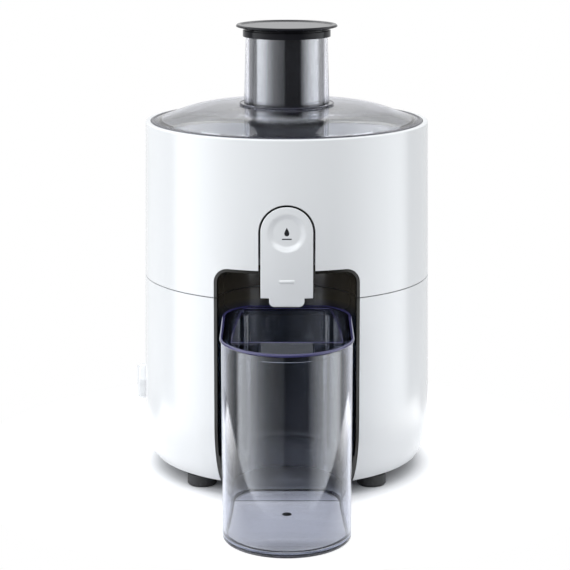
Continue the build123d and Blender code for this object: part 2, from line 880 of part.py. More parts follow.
def cooling_fan():
    """Fan that draws air up through the bottom cover."""
    high = fan_low + fan_height
    hub_radius = shaft_radius + fan_hub_wall
    fan = ring(fan_radius, shaft_radius + run_gap, fan_low, fan_low + fan_floor)
    fan += ring(hub_radius, shaft_radius + run_gap, fan_low, high)
    blade = block(hub_radius - past, fan_radius, -fan_blade_thickness / 2, fan_blade_thickness / 2,
                  fan_low, high)
    for i in range(fan_blades):
        fan += Rot(0, 0, 360 / fan_blades * i) * blade
    return fan


def toothed(grow, low, high):
    """The coupling's outline, moved out by grow."""
    shape = disc(coupling_core_radius + grow, low, high)
    half = coupling_tooth_width / 2 + grow
    tooth = block(0, coupling_tooth_radius + grow, -half, half, low, high)
    for i in range(coupling_teeth):
        shape += Rot(0, 0, 360 / coupling_teeth * i) * tooth
    return shape


def drive_coupling():
    """Toothed driver that the filter basket drops onto."""
    driver = toothed(0, coupling_low, coupling_high)
    return driver - disc(shaft_radius + run_gap, coupling_low, coupling_high)


# ---------------------------------------------------------------- filter basket
def filter_hub():
    """Plastic centre of the basket: a toothed socket under a disc, with a skirt over the bowl's tube."""
    boss_outer = coupling_tooth_radius + slide_gap + hub_wall
    hub = disc(sieve_low_radius + hub_wall, hub_low, hub_high)
    hub += disc(boss_outer, coupling_low + socket_lift, hub_low)
    hub -= toothed(slide_gap, coupling_low, coupling_high + slide_gap)
    skirt_bore = tube_bore + bowl_tube_wall + slide_gap
    hub += ring(skirt_bore + hub_skirt_wall, skirt_bore, hub_low - hub_skirt_depth, hub_low)
    return hub


def grater_disc():
    """Steel disc with rings of small teeth."""
    top = hub_high + grater_thickness
    disc_radius = sieve_low_radius - fit_gap
    plate = disc(disc_radius, hub_high, top)
    tooth = Pos(0, 0, top) * Cone(grater_tooth_radius, grater_tooth_tip, grater_tooth_height, align=on_base)
    for row in range(grater_rings):
        circle = disc_radius * (row + 1) / (grater_rings + 0.6)
        count = 6 * (row + 1)
        for i in range(count):
            x, y = polar(circle, 360 / count * i)
            plate += Pos(x, y, 0) * tooth
    return plate


def sieve():
    """Conical steel strainer."""
    return turned_polygon(
        (sieve_low_radius, hub_high),
        (sieve_low_radius + sieve_wall, hub_high),
        (sieve_top_radius + sieve_wall, sieve_high),
        (sieve_top_radius, sieve_high),
    )


def filter_rim():
    """Plastic rim that throws the pulp over the bowl's wall."""
    high = sieve_high + filter_rim_thickness
    return turned_polygon(
        (sieve_top_radius, sieve_high),
        (sieve_top_radius + sieve_wall + filter_rim_step, sieve_high),
        (filter_rim_radius, sieve_high + filter_rim_thickness / 3),
        (filter_rim_radius, high),
        (sieve_top_radius, high),
    )


# ---------------------------------------------------------------- upper housing
def upper_shell():
    """Upper half of the white housing, with its rim, lid ledge and interlock guides."""
    outside = housing_core(0)
    rim_edge = outside.edges().filter_by(GeomType.CIRCLE).group_by(Axis.Z)[-1]
    outside = fillet(rim_edge, rim_round)
    inside = housing_core(shell_wall / 2)
    shell = (outside - housing_core(shell_wall)) & slab(upper_bottom, rim_height)
    shell += (outside & slab(rim_height - rim_depth, rim_height)) - disc(rim_bore, 0, far)
    ledge = (inside & slab(ledge_low, ledge_low + ledge_height)) - disc(ledge_bore, 0, far)
    for i in range(lug_count):
        angle = lug_first_angle + 360 / lug_count * i
        ledge -= sector(lug_radius + slide_gap, ledge_bore - past, ledge_low - past,
                        ledge_low + ledge_height + past, angle, notch_arc)
    shell += ledge
    x, y = polar(rod_circle, rod_angle)
    for low in (guide_low, guide_high):
        guide = disc(guide_radius, low, low + guide_height, x, y)
        rib = block(rod_circle, belly_radius, -guide_rib / 2, guide_rib / 2, low, low + guide_height)
        shell += (guide + Rot(0, 0, rod_angle) * rib) & inside
        shell -= disc(rod_radius + guide_gap, low, low + guide_height, x, y)
    shell -= bay_core(0)
    return shell - arch(cover_half_width + cover_gap, bay_ceiling - bay_corner)


def bowl_carrier():
    """Floor of the upper housing, with the ring that the bowl stands on."""
    floor = housing_core(shell_wall + fit_gap) & slab(upper_bottom, floor_high)
    floor -= disc(tube_bore, upper_bottom, floor_high)
    floor += ring(pedestal_radius, pedestal_radius - bowl_wall, floor_high, bowl_floor_low)
    floor -= disc(rod_radius + slide_gap, upper_bottom, floor_high, *polar(rod_circle, rod_angle))
    return floor - bay_core(0)


def spout_opening(grow):
    """Room for the spout, its hinge and the cover."""
    half = cover_half_width + cover_gap + grow
    top = duct_roof + spout_headroom + grow
    back = -(duct_front - duct_depth - spout_backroom - grow)
    return block(-half, half, -far, back, seam_height, top)


def duct_opening(grow):
    """Room for the duct that runs forward from the bowl."""
    half = duct_half_width + fit_gap + grow
    top = duct_roof + fit_gap + grow
    return block(-half, half, -duct_front, -bowl_inner_radius, floor_high, top)


def bay_hood():
    """Dark ceiling and upper wall of the jug bay."""
    hood = bay_core(-fit_gap) - bay_core(-fit_gap - liner_wall)
    hood = hood & slab(upper_bottom, far) & housing_core(liner_recess)
    return hood - spout_opening(0)


def duct_bore():
    """The juice's way: forward from the bowl, then down the spout."""
    half = duct_half_width - duct_wall
    front = -(duct_front - duct_wall)
    roof = duct_roof - duct_wall
    way = block(-half, half, front, -(bowl_inner_radius - duct_overlap), bowl_floor_high, roof)
    spout_back = -(duct_front - duct_depth + duct_wall)
    return way + block(-half, half, front, spout_back, spout_bottom, roof)


def bowl_side():
    """Wall of the juice bowl, with the window that the juice leaves by."""
    return ring(bowl_radius, bowl_inner_radius, bowl_floor_low, bowl_rim_height) - duct_bore()


def bowl_floor():
    """Floor of the juice bowl, with the tube that stands round the tower."""
    floor = ring(bowl_inner_radius - fit_gap, tube_bore, bowl_floor_low, bowl_floor_high)
    return floor + ring(tube_bore + bowl_tube_wall, tube_bore, bowl_floor_high, bowl_tube_top)


def juice_spout():
    """Duct from the bowl to the spout, with the pins that the cover rocks on."""
    half = duct_half_width
    front = -duct_front
    spout = block(-half, half, front, 0, duct_floor_low, duct_roof)
    spout -= disc(bowl_radius + fit_gap, duct_floor_low, duct_roof)
    spout += block(-half, half, front, front + duct_depth, spout_bottom, duct_roof)
    spout -= duct_bore()
    for side in (-1, 1):
        inner = side * (half - duct_wall)
        x_low, x_high = sorted((inner, side * (half + ear_thickness + 2 * slide_gap)))
        spout += along_x(hinge_pin_radius, x_low, x_high, -hinge_setback, hinge_height)
    return spout


def pulp_outer_side():
    """Outer wall of the pulp container."""
    wall = ring(pulp_outer_radius, pulp_outer_radius - pulp_wall, floor_high, pulp_rim_height)
    return wall - bay_core(fit_gap) - spout_opening(0) - duct_opening(0)


def pulp_inner_side():
    """Inner wall of the pulp container, round the bowl."""
    bore = bowl_radius + slide_gap
    wall = ring(bore + pulp_wall, bore, floor_high, pulp_inner_rim_height)
    return wall - bay_core(fit_gap) - spout_opening(0) - duct_opening(0)


def pulp_floor():
    """Floor of the pulp container, raised over the bay and the duct."""
    inner = bowl_radius + slide_gap + pulp_wall + fit_gap
    outer = pulp_outer_radius - pulp_wall - fit_gap
    cavity = slab(floor_high + pulp_wall, pulp_rim_height)
    cavity -= bay_core(fit_gap + pulp_wall)
    cavity -= spout_opening(pulp_wall)
    cavity -= duct_opening(pulp_wall)
    floor = ring(outer, inner, floor_high, pulp_rim_height) - cavity
    return floor - bay_core(fit_gap) - spout_opening(0) - duct_opening(0)


# ---------------------------------------------------------------- spout cover
def spout_cover():
    """Arched white rocker in front of the spout, with a finger dimple and a drip guard tip."""
    skin = housing_core(0) - housing_core(cover_thickness)
    panel = skin & arch(cover_half_width, cover_bottom)
    tip_box = block(-tip_half_width, tip_half_width, -far, -hinge_setback, tip_bottom, cover_bottom + past)
    tip_box = fillet(tip_box.edges().filter_by(Axis.Y).group_by(Axis.Z)[0], tip_corner)
    cover = panel + (skin & tip_box)
    front = cover.faces().sort_by(Axis.Y)[0]
    cover = fillet(front.edges(), cover_edge_round)
    surface = housing_radius(cover_arch_height)
    dimple = along_y(dimple_radius, -far, -hinge_setback, 0, cover_arch_height)
    cover -= dimple - housing_core(dimple_depth)
    ridge = block(-ridge_length / 2, ridge_length / 2, -surface - 2 * ridge_rise, -surface + ridge_root,
                  ridge_height - ridge_width / 2, ridge_height + ridge_width / 2)
    cover += fillet(ridge.edges().filter_by(Axis.Y), ridge_width / 2.2) & housing_core(-ridge_rise)
    for side in (-1, 1):
        low, high = sorted((side * (duct_half_width + slide_gap),
                            side * (duct_half_width + slide_gap + ear_thickness)))
        ear = block(low, high, -housing_radius(hinge_height), -hinge_setback,
                    hinge_height - ear_radius, hinge_height + ear_radius)
        ear += along_x(ear_radius, low, high, -hinge_setback, hinge_height)
        cover += ear & housing_core(cover_thickness / 2)
        cover -= along_x(hinge_pin_radius + run_gap, low - past, high + past, -hinge_setback, hinge_height)
    return cover


def spout_stopper():
    """Rubber pad on the cover that closes the spout's end."""
    top = spout_bottom - slide_gap
    back = -(duct_front - duct_depth + slide_gap)
    pad = block(-stopper_half_width, stopper_half_width, -far, back, top - stopper_thickness, top)
    return pad & housing_core(cover_thickness)


# ---------------------------------------------------------------- lid and pusher
def dome_points(drop):
    """Points of the dome's section, from its edge to the chute, moved down by drop."""
    slope = lid_edge_height - drop
    rise = dome_height - lid_edge_height
    return [
        (lid_radius, 0, slope),
        (lid_radius * 0.932, 0, slope + rise * 0.17),
        (lid_radius * 0.797, 0, slope + rise * 0.57),
        (lid_radius * 0.70, 0, slope + rise * 0.81),
        (lid_radius * 0.52, 0, slope + rise * 0.96),
        (chute_radius_low, 0, dome_height - drop),
    ]


def lid():
    """Clear dome with the feed chute, the skirt with its bayonet lugs and the seal rib."""
    outer = dome_points(0)
    inner = dome_points(lid_wall)
    dome = turned([
        Spline(*outer),
        Line(outer[-1], (chute_bore, 0, dome_height)),
        Line((chute_bore, 0, dome_height), (chute_bore, 0, dome_height - lid_wall)),
        Line((chute_bore, 0, dome_height - lid_wall), inner[-1]),
        Spline(*inner),
        Line(inner[0], outer[0]),
    ])
    chute = turned_polygon(
        (chute_bore, chute_end),
        (chute_bore + chute_wall_end, chute_end),
        (chute_radius_low, dome_height - lid_wall),
        (chute_radius_low, dome_height),
        (chute_radius_top, chute_top),
        (chute_bore, chute_top),
    )
    root = ring(chute_root_radius, chute_bore, dome_height - past, dome_height + chute_root_height)
    under_dome = turned([
        Spline(*outer),
        Line(outer[-1], (0, 0, dome_height)),
        Line((0, 0, dome_height), (0, 0, skirt_bottom)),
        Line((0, 0, skirt_bottom), (lid_radius, 0, skirt_bottom)),
        Line((lid_radius, 0, skirt_bottom), outer[0]),
    ])
    skirt = ring(skirt_radius, skirt_inner, skirt_bottom, dome_height) & under_dome
    rib = ring(seal_rib_radius, seal_rib_radius - seal_rib_wall, gasket_high, dome_height) & under_dome
    whole = dome + chute + root + skirt + rib
    for i in range(lug_count):
        angle = lug_first_angle + 360 / lug_count * i
        lug = sector(lug_radius, skirt_inner + lug_root, skirt_bottom, skirt_bottom + lug_height,
                     angle, lug_arc)
        lead = lug.faces().filter_by(GeomType.PLANE).sort_by(lambda face: lead_order(face, angle))[-1]
        low_edge = lead.edges().sort_by(Axis.Z)[0]
        whole += chamfer(low_edge, lug_ramp, 2.5 * lug_ramp)
    return whole


def lead_order(face, angle):
    """How far round, past the lug's middle, a face lies."""
    centre = face.center()
    return centre.Y * cos(radians(angle)) - centre.X * sin(radians(angle))


def lid_gasket():
    """Rubber ring between the lid's rib and the pulp container's rim."""
    middle = seal_rib_radius - seal_rib_wall / 2
    half = seal_rib_wall / 2 + gasket_lip
    return ring(middle + half, middle - half, gasket_low, gasket_high)


def plunger_body():
    """Hollow pusher with a closed end and a key rib."""
    floor_top = plunger_end + plunger_wall
    cup = ring(plunger_radius, plunger_radius - plunger_wall, floor_top, plunger_top)
    cup += disc(plunger_radius, plunger_end, floor_top)
    half = plunger_rib_width / 2
    rib = block(-half, half, -far, -plunger_radius + past, plunger_end, plunger_top)
    return cup + (rib & disc(plunger_radius + plunger_rib_rise, plunger_end, plunger_top))


def plunger_cap():
    """Collar that rests on the chute, and the round top."""
    plug_radius = plunger_radius - plunger_wall - run_gap
    bore = plunger_radius + run_gap + plunger_rib_rise
    plug = ring(plug_radius, plug_radius - plunger_wall, plunger_top - cap_plug_depth, plunger_top)
    head = turned_polygon(
        (0, plunger_top),
        (bore, plunger_top),
        (bore, collar_low),
        (collar_radius, collar_low),
        (collar_radius, collar_high),
        (collar_radius - collar_slope, collar_high + collar_slope_height),
        (collar_radius - collar_slope, cap_low),
        (cap_radius - cap_bevel, cap_low + cap_thickness * 0.4),
        (cap_radius, cap_low + cap_thickness * 0.55),
        (cap_radius, cap_high - cap_round),
        (cap_radius - cap_round, cap_high),
        (cap_radius - cap_land, cap_high),
        (cap_radius - cap_land - cap_slope, cap_high - cap_dish),
        (0, cap_high - cap_dish),
    )
    return head + plug


# ---------------------------------------------------------------- interlock, switch and inlet
def interlock_rod():
    """Rod that the lid's lug pushes down onto the safety switch."""
    x, y = polar(rod_circle, rod_angle)
    rod = disc(rod_radius, floor_high + fit_gap, rod_top, x, y)
    collar_z = guide_low + guide_height + spring_length
    rod += disc(rod_collar_radius, collar_z, collar_z + rod_collar_height, x, y)
    return chamfer(rod.edges().filter_by(GeomType.CIRCLE).group_by(Axis.Z)[-1], rod_chamfer)


def interlock_spring():
    """Spring that lifts the rod when the lid unlocks."""
    x, y = polar(rod_circle, rod_angle)
    mean = rod_radius + spring_wire + fit_gap
    return Pos(x, y, guide_low + guide_height) * coil_spring(mean, spring_wire, spring_length, spring_turns)


def interlock_switch():
    """Safety switch under the deck."""
    button_top = floor_high + fit_gap - rod_travel - rest_gap
    outer = rod_circle + sensor_edge
    body = block(outer - sensor_depth, outer, -sensor_width / 2, sensor_width / 2,
                 deck_low - sensor_height, deck_low)
    button = disc(rod_radius, deck_low - past, button_top, rod_circle, 0)
    return Rot(0, 0, rod_angle) * (body + button)


def switch_knob():
    """Round knob on the left side, with a grip bar and a stem into the switch."""
    face = -(housing_radius(knob_height) + knob_reach)
    back = -(housing_radius(knob_height) - shell_wall - knob_depth + knob_gap)
    body_face = face + knob_grip_rise
    body = along_x(knob_radius, body_face, back, 0, knob_height)
    body = fillet(body.edges().filter_by(GeomType.CIRCLE).sort_by(Axis.X)[0], knob_round)
    half = knob_grip_width / 2
    grip_half = knob_radius - knob_grip_inset
    grip = block(face, body_face + past, -half, half, knob_height - grip_half, knob_height + grip_half)
    grip = fillet(grip.edges().filter_by(Axis.Z), knob_grip_round)
    stem = along_x(knob_stem_radius, back, back + knob_depth + knob_stem_length, 0, knob_height)
    return body + grip + stem


def switch_body():
    """Three-position rotary switch behind the knob."""
    face = -(housing_radius(knob_height) - shell_wall - knob_depth)
    half = switch_width / 2
    body = block(face, face + switch_depth, -half, half, knob_height - half, knob_height + half)
    stem_end = face + knob_depth + knob_stem_length + past
    return body - along_x(knob_stem_radius + run_gap, face, stem_end, 0, knob_height)


def cord_gland():
    """Rubber gland in the back wall, for the supply lead."""
    inner_end = inlet_face - shell_wall - inlet_flange - past
    sleeve = along_y(inlet_bore + inlet_wall - run_gap, inner_end, inlet_face + inlet_nose, 0, inlet_height)
    flange = along_y(inlet_flange_radius, inner_end, inlet_face, 0, inlet_height)
    lip_end = inlet_face + inlet_nose - inlet_lip_set
    lip = along_y(inlet_bore + inlet_wall + inlet_lip, inlet_face - past, lip_end, 0, inlet_height)
    gland = sleeve + (flange & housing_core(shell_wall)) + (lip - housing_core(0))
    return gland - along_y(inlet_bore, 0, far, 0, inlet_height)


def cord_clamp():
    """Saddle on the bottom cover, just inside the gland."""
    y = inlet_face - shell_wall - clamp_setback
    half = clamp_depth / 2
    saddle = block(-clamp_width / 2, clamp_width / 2, y - half, y + half,
                   plate_high, inlet_height + inlet_bore + clamp_cover)
    return saddle - along_y(inlet_bore, y - half, y + half, 0, inlet_height)


def terminal_block():
    """Terminals for the supply lead."""
    top = plate_high + terminal_height
    body = block(terminal_x - terminal_width / 2, terminal_x + terminal_width / 2,
                 terminal_y - terminal_depth / 2, terminal_y + terminal_depth / 2, plate_high, top)
    for i in range(terminal_count):
        x = terminal_x + (i - (terminal_count - 1) / 2) * terminal_pitch
        body -= disc(terminal_hole, top - terminal_height / 2, top, x, terminal_y)
    return body


def suppressor():
    """Interference suppressor on the bottom cover."""
    half = suppressor_length / 2
    axis_height = plate_high + suppressor_radius
    can = along_y(suppressor_radius, suppressor_y - half, suppressor_y + half, suppressor_x, axis_height)
    foot_half = half - suppressor_foot_inset
    return can + block(suppressor_x - suppressor_foot / 2, suppressor_x + suppressor_foot / 2,
                       suppressor_y - foot_half, suppressor_y + foot_half, plate_high, axis_height)


# ---------------------------------------------------------------- jug
def jug_outline(inset):
    """Plan of the jug, moved in by inset."""
    half = jug_half_width - inset
    back_half = jug_back_half_width - inset * 0.6
    back = -(jug_back + inset)
    middle_half = (half + back_half) / 2 + jug_corner_bow
    middle = back - jug_corner_depth * 0.36
    edges = [Line((-back_half, back), (back_half, back))]
    edges += [ThreePointArc((back_half, back), (middle_half, middle), (half, -jug_shoulder))]
    edges += [Line((half, -jug_shoulder), (half, -jug_side_end))]
    nose_depth = jug_nose_depth - inset
    edges += [EllipticalCenterArc((0, -jug_side_end), half, nose_depth, start_angle=180, arc_size=180)]
    edges += [Line((-half, -jug_side_end), (-half, -jug_shoulder))]
    edges += [ThreePointArc((-half, -jug_shoulder), (-middle_half, middle), (-back_half, back))]
    return make_face(edges)


def jug_block(inset, low, high):
    """The jug's plan raised between two heights."""
    return Pos(0, 0, low) * extrude(jug_outline(inset), high - low)


def jug():
    """Clear jug."""
    body = jug_block(0, 0, jug_body_top)
    body = fillet(body.edges().group_by(Axis.Z)[0], jug_edge_round)
    hollow = jug_block(jug_wall, jug_floor, jug_body_top + past)
    hollow = fillet(hollow.edges().group_by(Axis.Z)[0], jug_edge_round * 2)
    return body - hollow


def jug_lid():
    """Clear plate on the jug, with the pouring mouth and the froth separator."""
    plate = jug_block(0, jug_body_top, jug_height)
    rim_low = jug_body_top - jug_lid_rim_depth
    inset = jug_wall + fit_gap
    plate += jug_block(inset, rim_low, jug_body_top)
    plate -= jug_block(inset + jug_lid_rim_wall, rim_low, jug_body_top)
    side_middle = ((mouth_back_half_width + mouth_front_half_width) / 2 + mouth_bow,
                   -(mouth_back + mouth_front) / 2)
    back_right = (mouth_back_half_width, -mouth_back)
    front_right = (mouth_front_half_width, -mouth_front)
    back_left = (-back_right[0], back_right[1])
    front_left = (-front_right[0], front_right[1])
    mouth = make_face([
        Line(back_left, back_right),
        ThreePointArc(back_right, side_middle, front_right),
        Line(front_right, front_left),
        ThreePointArc(front_left, (-side_middle[0], side_middle[1]), back_left),
    ])
    plate -= Pos(0, 0, rim_low) * extrude(mouth, jug_height - rim_low)
    wall_back = -mouth_front
    separator = block(-far, far, wall_back - separator_wall, wall_back, separator_end, jug_body_top)
    return plate + (separator & jug_block(jug_wall + separator_gap, separator_end, jug_body_top))


# ---------------------------------------------------------------- all the pieces
def all_pieces():
    """Every piece by its name."""
    pieces = {
        "base_shell": base_shell(),
        "base_plate": base_plate(),
        "base_screws": base_screws(),
        "bay_liner": bay_liner(),
        "base_deck": base_deck(),
        "shaft_seal": shaft_seal(),
        "motor_upper_bracket": motor_upper_bracket(),
        "motor_lower_bracket": motor_lower_bracket(),
        "stator_core": stator_core(),
        "field_coils": field_coils(),
        "brush_holders": brush_holders(),
        "brushes": brushes(),
        "brush_springs": brush_springs(),
        "bearing_upper": bearing(upper_bracket_low),
        "bearing_lower": bearing(lower_bracket_high - bearing_width),
        "motor_bolts": motor_bolts(),
        "motor_dampers": motor_dampers(),
        "motor_mount_screws": motor_mount_screws(),
        "switch_body": switch_body(),
        "cord_gland": cord_gland(),
        "cord_clamp": cord_clamp(),
        "terminal_block": terminal_block(),
        "interlock_switch": interlock_switch(),
        "suppressor": suppressor(),
        "motor_shaft": motor_shaft(),
        "armature_core": armature_core(),
        "armature_windings": armature_windings(),
        "commutator": commutator(),
        "cooling_fan": cooling_fan(),
        "drive_coupling": drive_coupling(),
        "upper_shell": upper_shell(),
        "bowl_carrier": bowl_carrier(),
        "bay_hood": bay_hood(),
        "bowl_side": bowl_side(),
        "bowl_floor": bowl_floor(),
        "juice_spout": juice_spout(),
        "pulp_outer_side": pulp_outer_side(),
        "pulp_inner_side": pulp_inner_side(),
        "pulp_floor": pulp_floor(),
        "filter_hub": filter_hub(),
        "grater_disc": grater_disc(),
        "sieve": sieve(),
        "filter_rim": filter_rim(),
        "spout_cover": spout_cover(),
        "spout_stopper": spout_stopper(),
        "lid": lid(),
        "lid_gasket": lid_gasket(),
        "plunger_body": plunger_body(),
        "plunger_cap": plunger_cap(),
        "interlock_rod": interlock_rod(),
        "interlock_spring": interlock_spring(),
        "switch_knob": switch_knob(),
        "jug": jug(),
        "jug_lid": jug_lid(),
    }
    for name, (x, y) in foot_places().items():
        pieces[name] = foot(x, y)
    return pieces


os.makedirs("parts", exist_ok=True)
for name, piece in all_pieces().items():
    export_step(piece, f"parts/{name}.step")
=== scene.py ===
"""Looks of a centrifugal juicer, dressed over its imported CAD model.

Metres, +Z up, the front of the juicer faces -Y, the motor axis is Z.
The file is laid out as an add-on and is run as a script.
"""

from math import cos, pi, radians, sin, sqrt

import bmesh
import bpy
from bpy.props import FloatProperty, FloatVectorProperty, IntProperty, PointerProperty
from mathutils import Matrix, Vector
from mathutils.geometry import delaunay_2d_cdt


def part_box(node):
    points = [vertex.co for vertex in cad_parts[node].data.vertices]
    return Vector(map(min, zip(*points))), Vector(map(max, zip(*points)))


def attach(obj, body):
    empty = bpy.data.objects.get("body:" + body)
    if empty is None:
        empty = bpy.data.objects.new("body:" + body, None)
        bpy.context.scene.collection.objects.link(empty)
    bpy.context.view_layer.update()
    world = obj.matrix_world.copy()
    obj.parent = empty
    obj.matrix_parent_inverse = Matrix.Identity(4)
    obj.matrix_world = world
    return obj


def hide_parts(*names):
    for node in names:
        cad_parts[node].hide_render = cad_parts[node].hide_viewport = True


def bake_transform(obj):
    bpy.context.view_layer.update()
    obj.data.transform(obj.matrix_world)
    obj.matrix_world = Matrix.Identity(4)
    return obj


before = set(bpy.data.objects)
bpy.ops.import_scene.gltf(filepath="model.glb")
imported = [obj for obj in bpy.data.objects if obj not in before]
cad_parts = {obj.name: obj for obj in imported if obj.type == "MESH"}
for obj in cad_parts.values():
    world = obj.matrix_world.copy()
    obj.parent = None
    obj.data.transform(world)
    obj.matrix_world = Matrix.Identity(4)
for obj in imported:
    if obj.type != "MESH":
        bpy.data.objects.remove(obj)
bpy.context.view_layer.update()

bl_info = {
    "name": "Centrifugal juicer looks",
    "version": (1, 0, 0),
    "blender": (4, 5, 0),
    "location": "3D View > Sidebar > Juicer",
    "description": "Dresses the packed juicer model with finishes, light and detailed pieces",
    "category": "Object",
}


# ---------------------------------------------------------------- settings
def colour_setting(name, description, value):
    """A colour that a user may change."""
    return FloatVectorProperty(name=name, description=description, default=value, subtype="COLOR",
                               size=3, min=0.0, max=1.0)


def length_setting(name, description, value):
    """A length in metres that a user may change."""
    return FloatProperty(name=name, description=description, default=value, unit="LENGTH",
                         subtype="DISTANCE", precision=5)


def level_setting(name, description, value):
    """A brightness or share that a user may change."""
    return FloatProperty(name=name, description=description, default=value, min=0.0)


def count_setting(name, description, value, least):
    """A whole number that a user may change."""
    return IntProperty(name=name, description=description, default=value, min=least)


def band_setting(name, description, value):
    """The start and end of a soft step."""
    return FloatVectorProperty(name=name, description=description, default=value, size=2)


class JuicerFinishes(bpy.types.PropertyGroup):
    """Colours and roughness of the juicer's materials."""
    housing_colour: colour_setting("Housing", "White gloss plastic of the housing", (0.81, 0.815, 0.82))
    housing_roughness: FloatProperty(name="Housing roughness", description="Sheen of the housing",
                                     default=0.22, min=0.0, max=1.0, subtype="FACTOR")
    bay_colour: colour_setting("Bay lining", "Dark plastic round the jug", (0.080, 0.068, 0.050))
    # Painted shade with a blue cast: the lining below the jug's plate is darker and bluer.
    bay_painted_shade_colour: colour_setting("Low bay lining", "Lining behind the jug", (0.011, 0.018, 0.034))
    pusher_colour: colour_setting("Pusher", "Black plastic of the pusher", (0.014, 0.014, 0.017))
    smoke_tint: colour_setting("Lid tint", "Tint of the clear lid and chute", (0.40, 0.43, 0.56))
    jug_tint: colour_setting("Jug tint", "Tint of the clear jug", (0.43, 0.48, 0.62))
    # Painted shade: indigo and dark beads along the clear plastic's edges, and clear plastic darkened where
    # it is seen at a slant.
    indigo_painted_edge_shade: colour_setting("Edge tint", "Glow of the clear plastic's edges", (0.060, 0.056, 0.180))
    edge_shade: colour_setting("Edge shade", "Clear plastic seen at a slant", (0.26, 0.28, 0.43))
    lid_edge_shade: colour_setting("Lid's edge shade", "Clear lid seen at a slant", (0.26, 0.26, 0.40))
    dark_painted_edge_shade: colour_setting("Dark edge", "Edges of the lid and the jug's foot", (0.020, 0.020, 0.045))
    rubber_colour: colour_setting("Rubber", "Feet, gland and stopper", (0.020, 0.020, 0.021))
    steel_colour: colour_setting("Steel", "Sieve and grater", (0.60, 0.60, 0.60))
    hole_count: count_setting("Holes", "Holes in one row of the sieve", 240, 8)
    hole_pitch: length_setting("Hole rows", "Height between the sieve's rows of holes", 0.0014)
    hole_edge: band_setting("Hole edge", "Where a hole ends and the sheet begins, in rows", (0.22, 0.30))
    bay_coat: level_setting("Bay coat", "Gloss on the lining, away from the housing's face", 0.6)
    # Near the housing's face the lining takes a painted shade and has no coat.
    bay_edge: band_setting("Bay edge", "Depth at which the lining turns glossy", (0.004, 0.008))
    bay_edge_painted_shade: level_setting("Bay edge level", "Share of the lining's colour that its edge keeps", 0.12)
    bay_painted_shade_fade: length_setting("Bay fade", "Height over which the low lining's colour sets in", 0.010)
    lid_density: level_setting("Lid density", "How fast the lid's tint deepens", 50.0)
    jug_density: level_setting("Jug density", "How fast the jug's tint deepens", 100.0)
    plate_density: level_setting("Plate density", "How fast the tint of the jug's plate deepens", 160.0)
    commutator_bars: count_setting("Bars", "Copper bars of the commutator", 24, 2)
    bar_gap: level_setting("Bar gap", "Share of a bar that its slot takes", 0.12)


class JuicerStage(bpy.types.PropertyGroup):
    """Camera, floor and light."""
    camera_place: FloatVectorProperty(name="Camera", description="Where the camera stands",
                                      default=(-0.00136, -1.609, 0.5008), subtype="TRANSLATION",
                                      unit="LENGTH", size=3)
    camera_tilt: FloatProperty(name="Tilt", description="How far the camera looks down",
                               default=radians(12.43), subtype="ANGLE")
    camera_lens: FloatProperty(name="Lens", description="Focal length on a 36 mm sensor", default=128.5,
                               min=10.0, unit="CAMERA")
    floor_radius: length_setting("Floor", "Radius of the floor", 0.32)
    fade_start: length_setting("Fade start", "Radius at which the floor starts to turn plain white", 0.20)
    fade_end: length_setting("Fade end", "Radius from which the floor is plain white", 0.27)
    glow_start: length_setting("Glow start", "Radius inside which the floor keeps the full shadow", 0.104)
    glow_full: length_setting("Glow full", "Radius from which the floor has its full glow", 0.130)
    floor_glow: level_setting("Floor glow", "Glow that lifts the floor to white", 0.55)
    world_light: level_setting("World light", "Strength of the even light", 0.83)
    box_peak: level_setting("Soft boxes", "Brightness of the mirrored soft boxes", 3.2)
    overhead_level: level_setting("Overhead", "Brightness of the mirrored ceiling", 3.8)
    overhead_fill: level_setting("Overhead fill", "Share of the even light that comes from above", 1.7)
    slant: level_setting("Slant", "How much more of the light comes from the upper left", 0.35)
    mirror_share: level_setting("Backdrop in mirrors", "Share of the plain backdrop that gloss shows", 0.7)
    overhead_band: band_setting("Overhead band", "Height where the ceiling takes over", (0.27, 0.38))
    backdrop_band: band_setting("Backdrop band", "How far back the plain white backdrop begins", (0.2, 0.6))


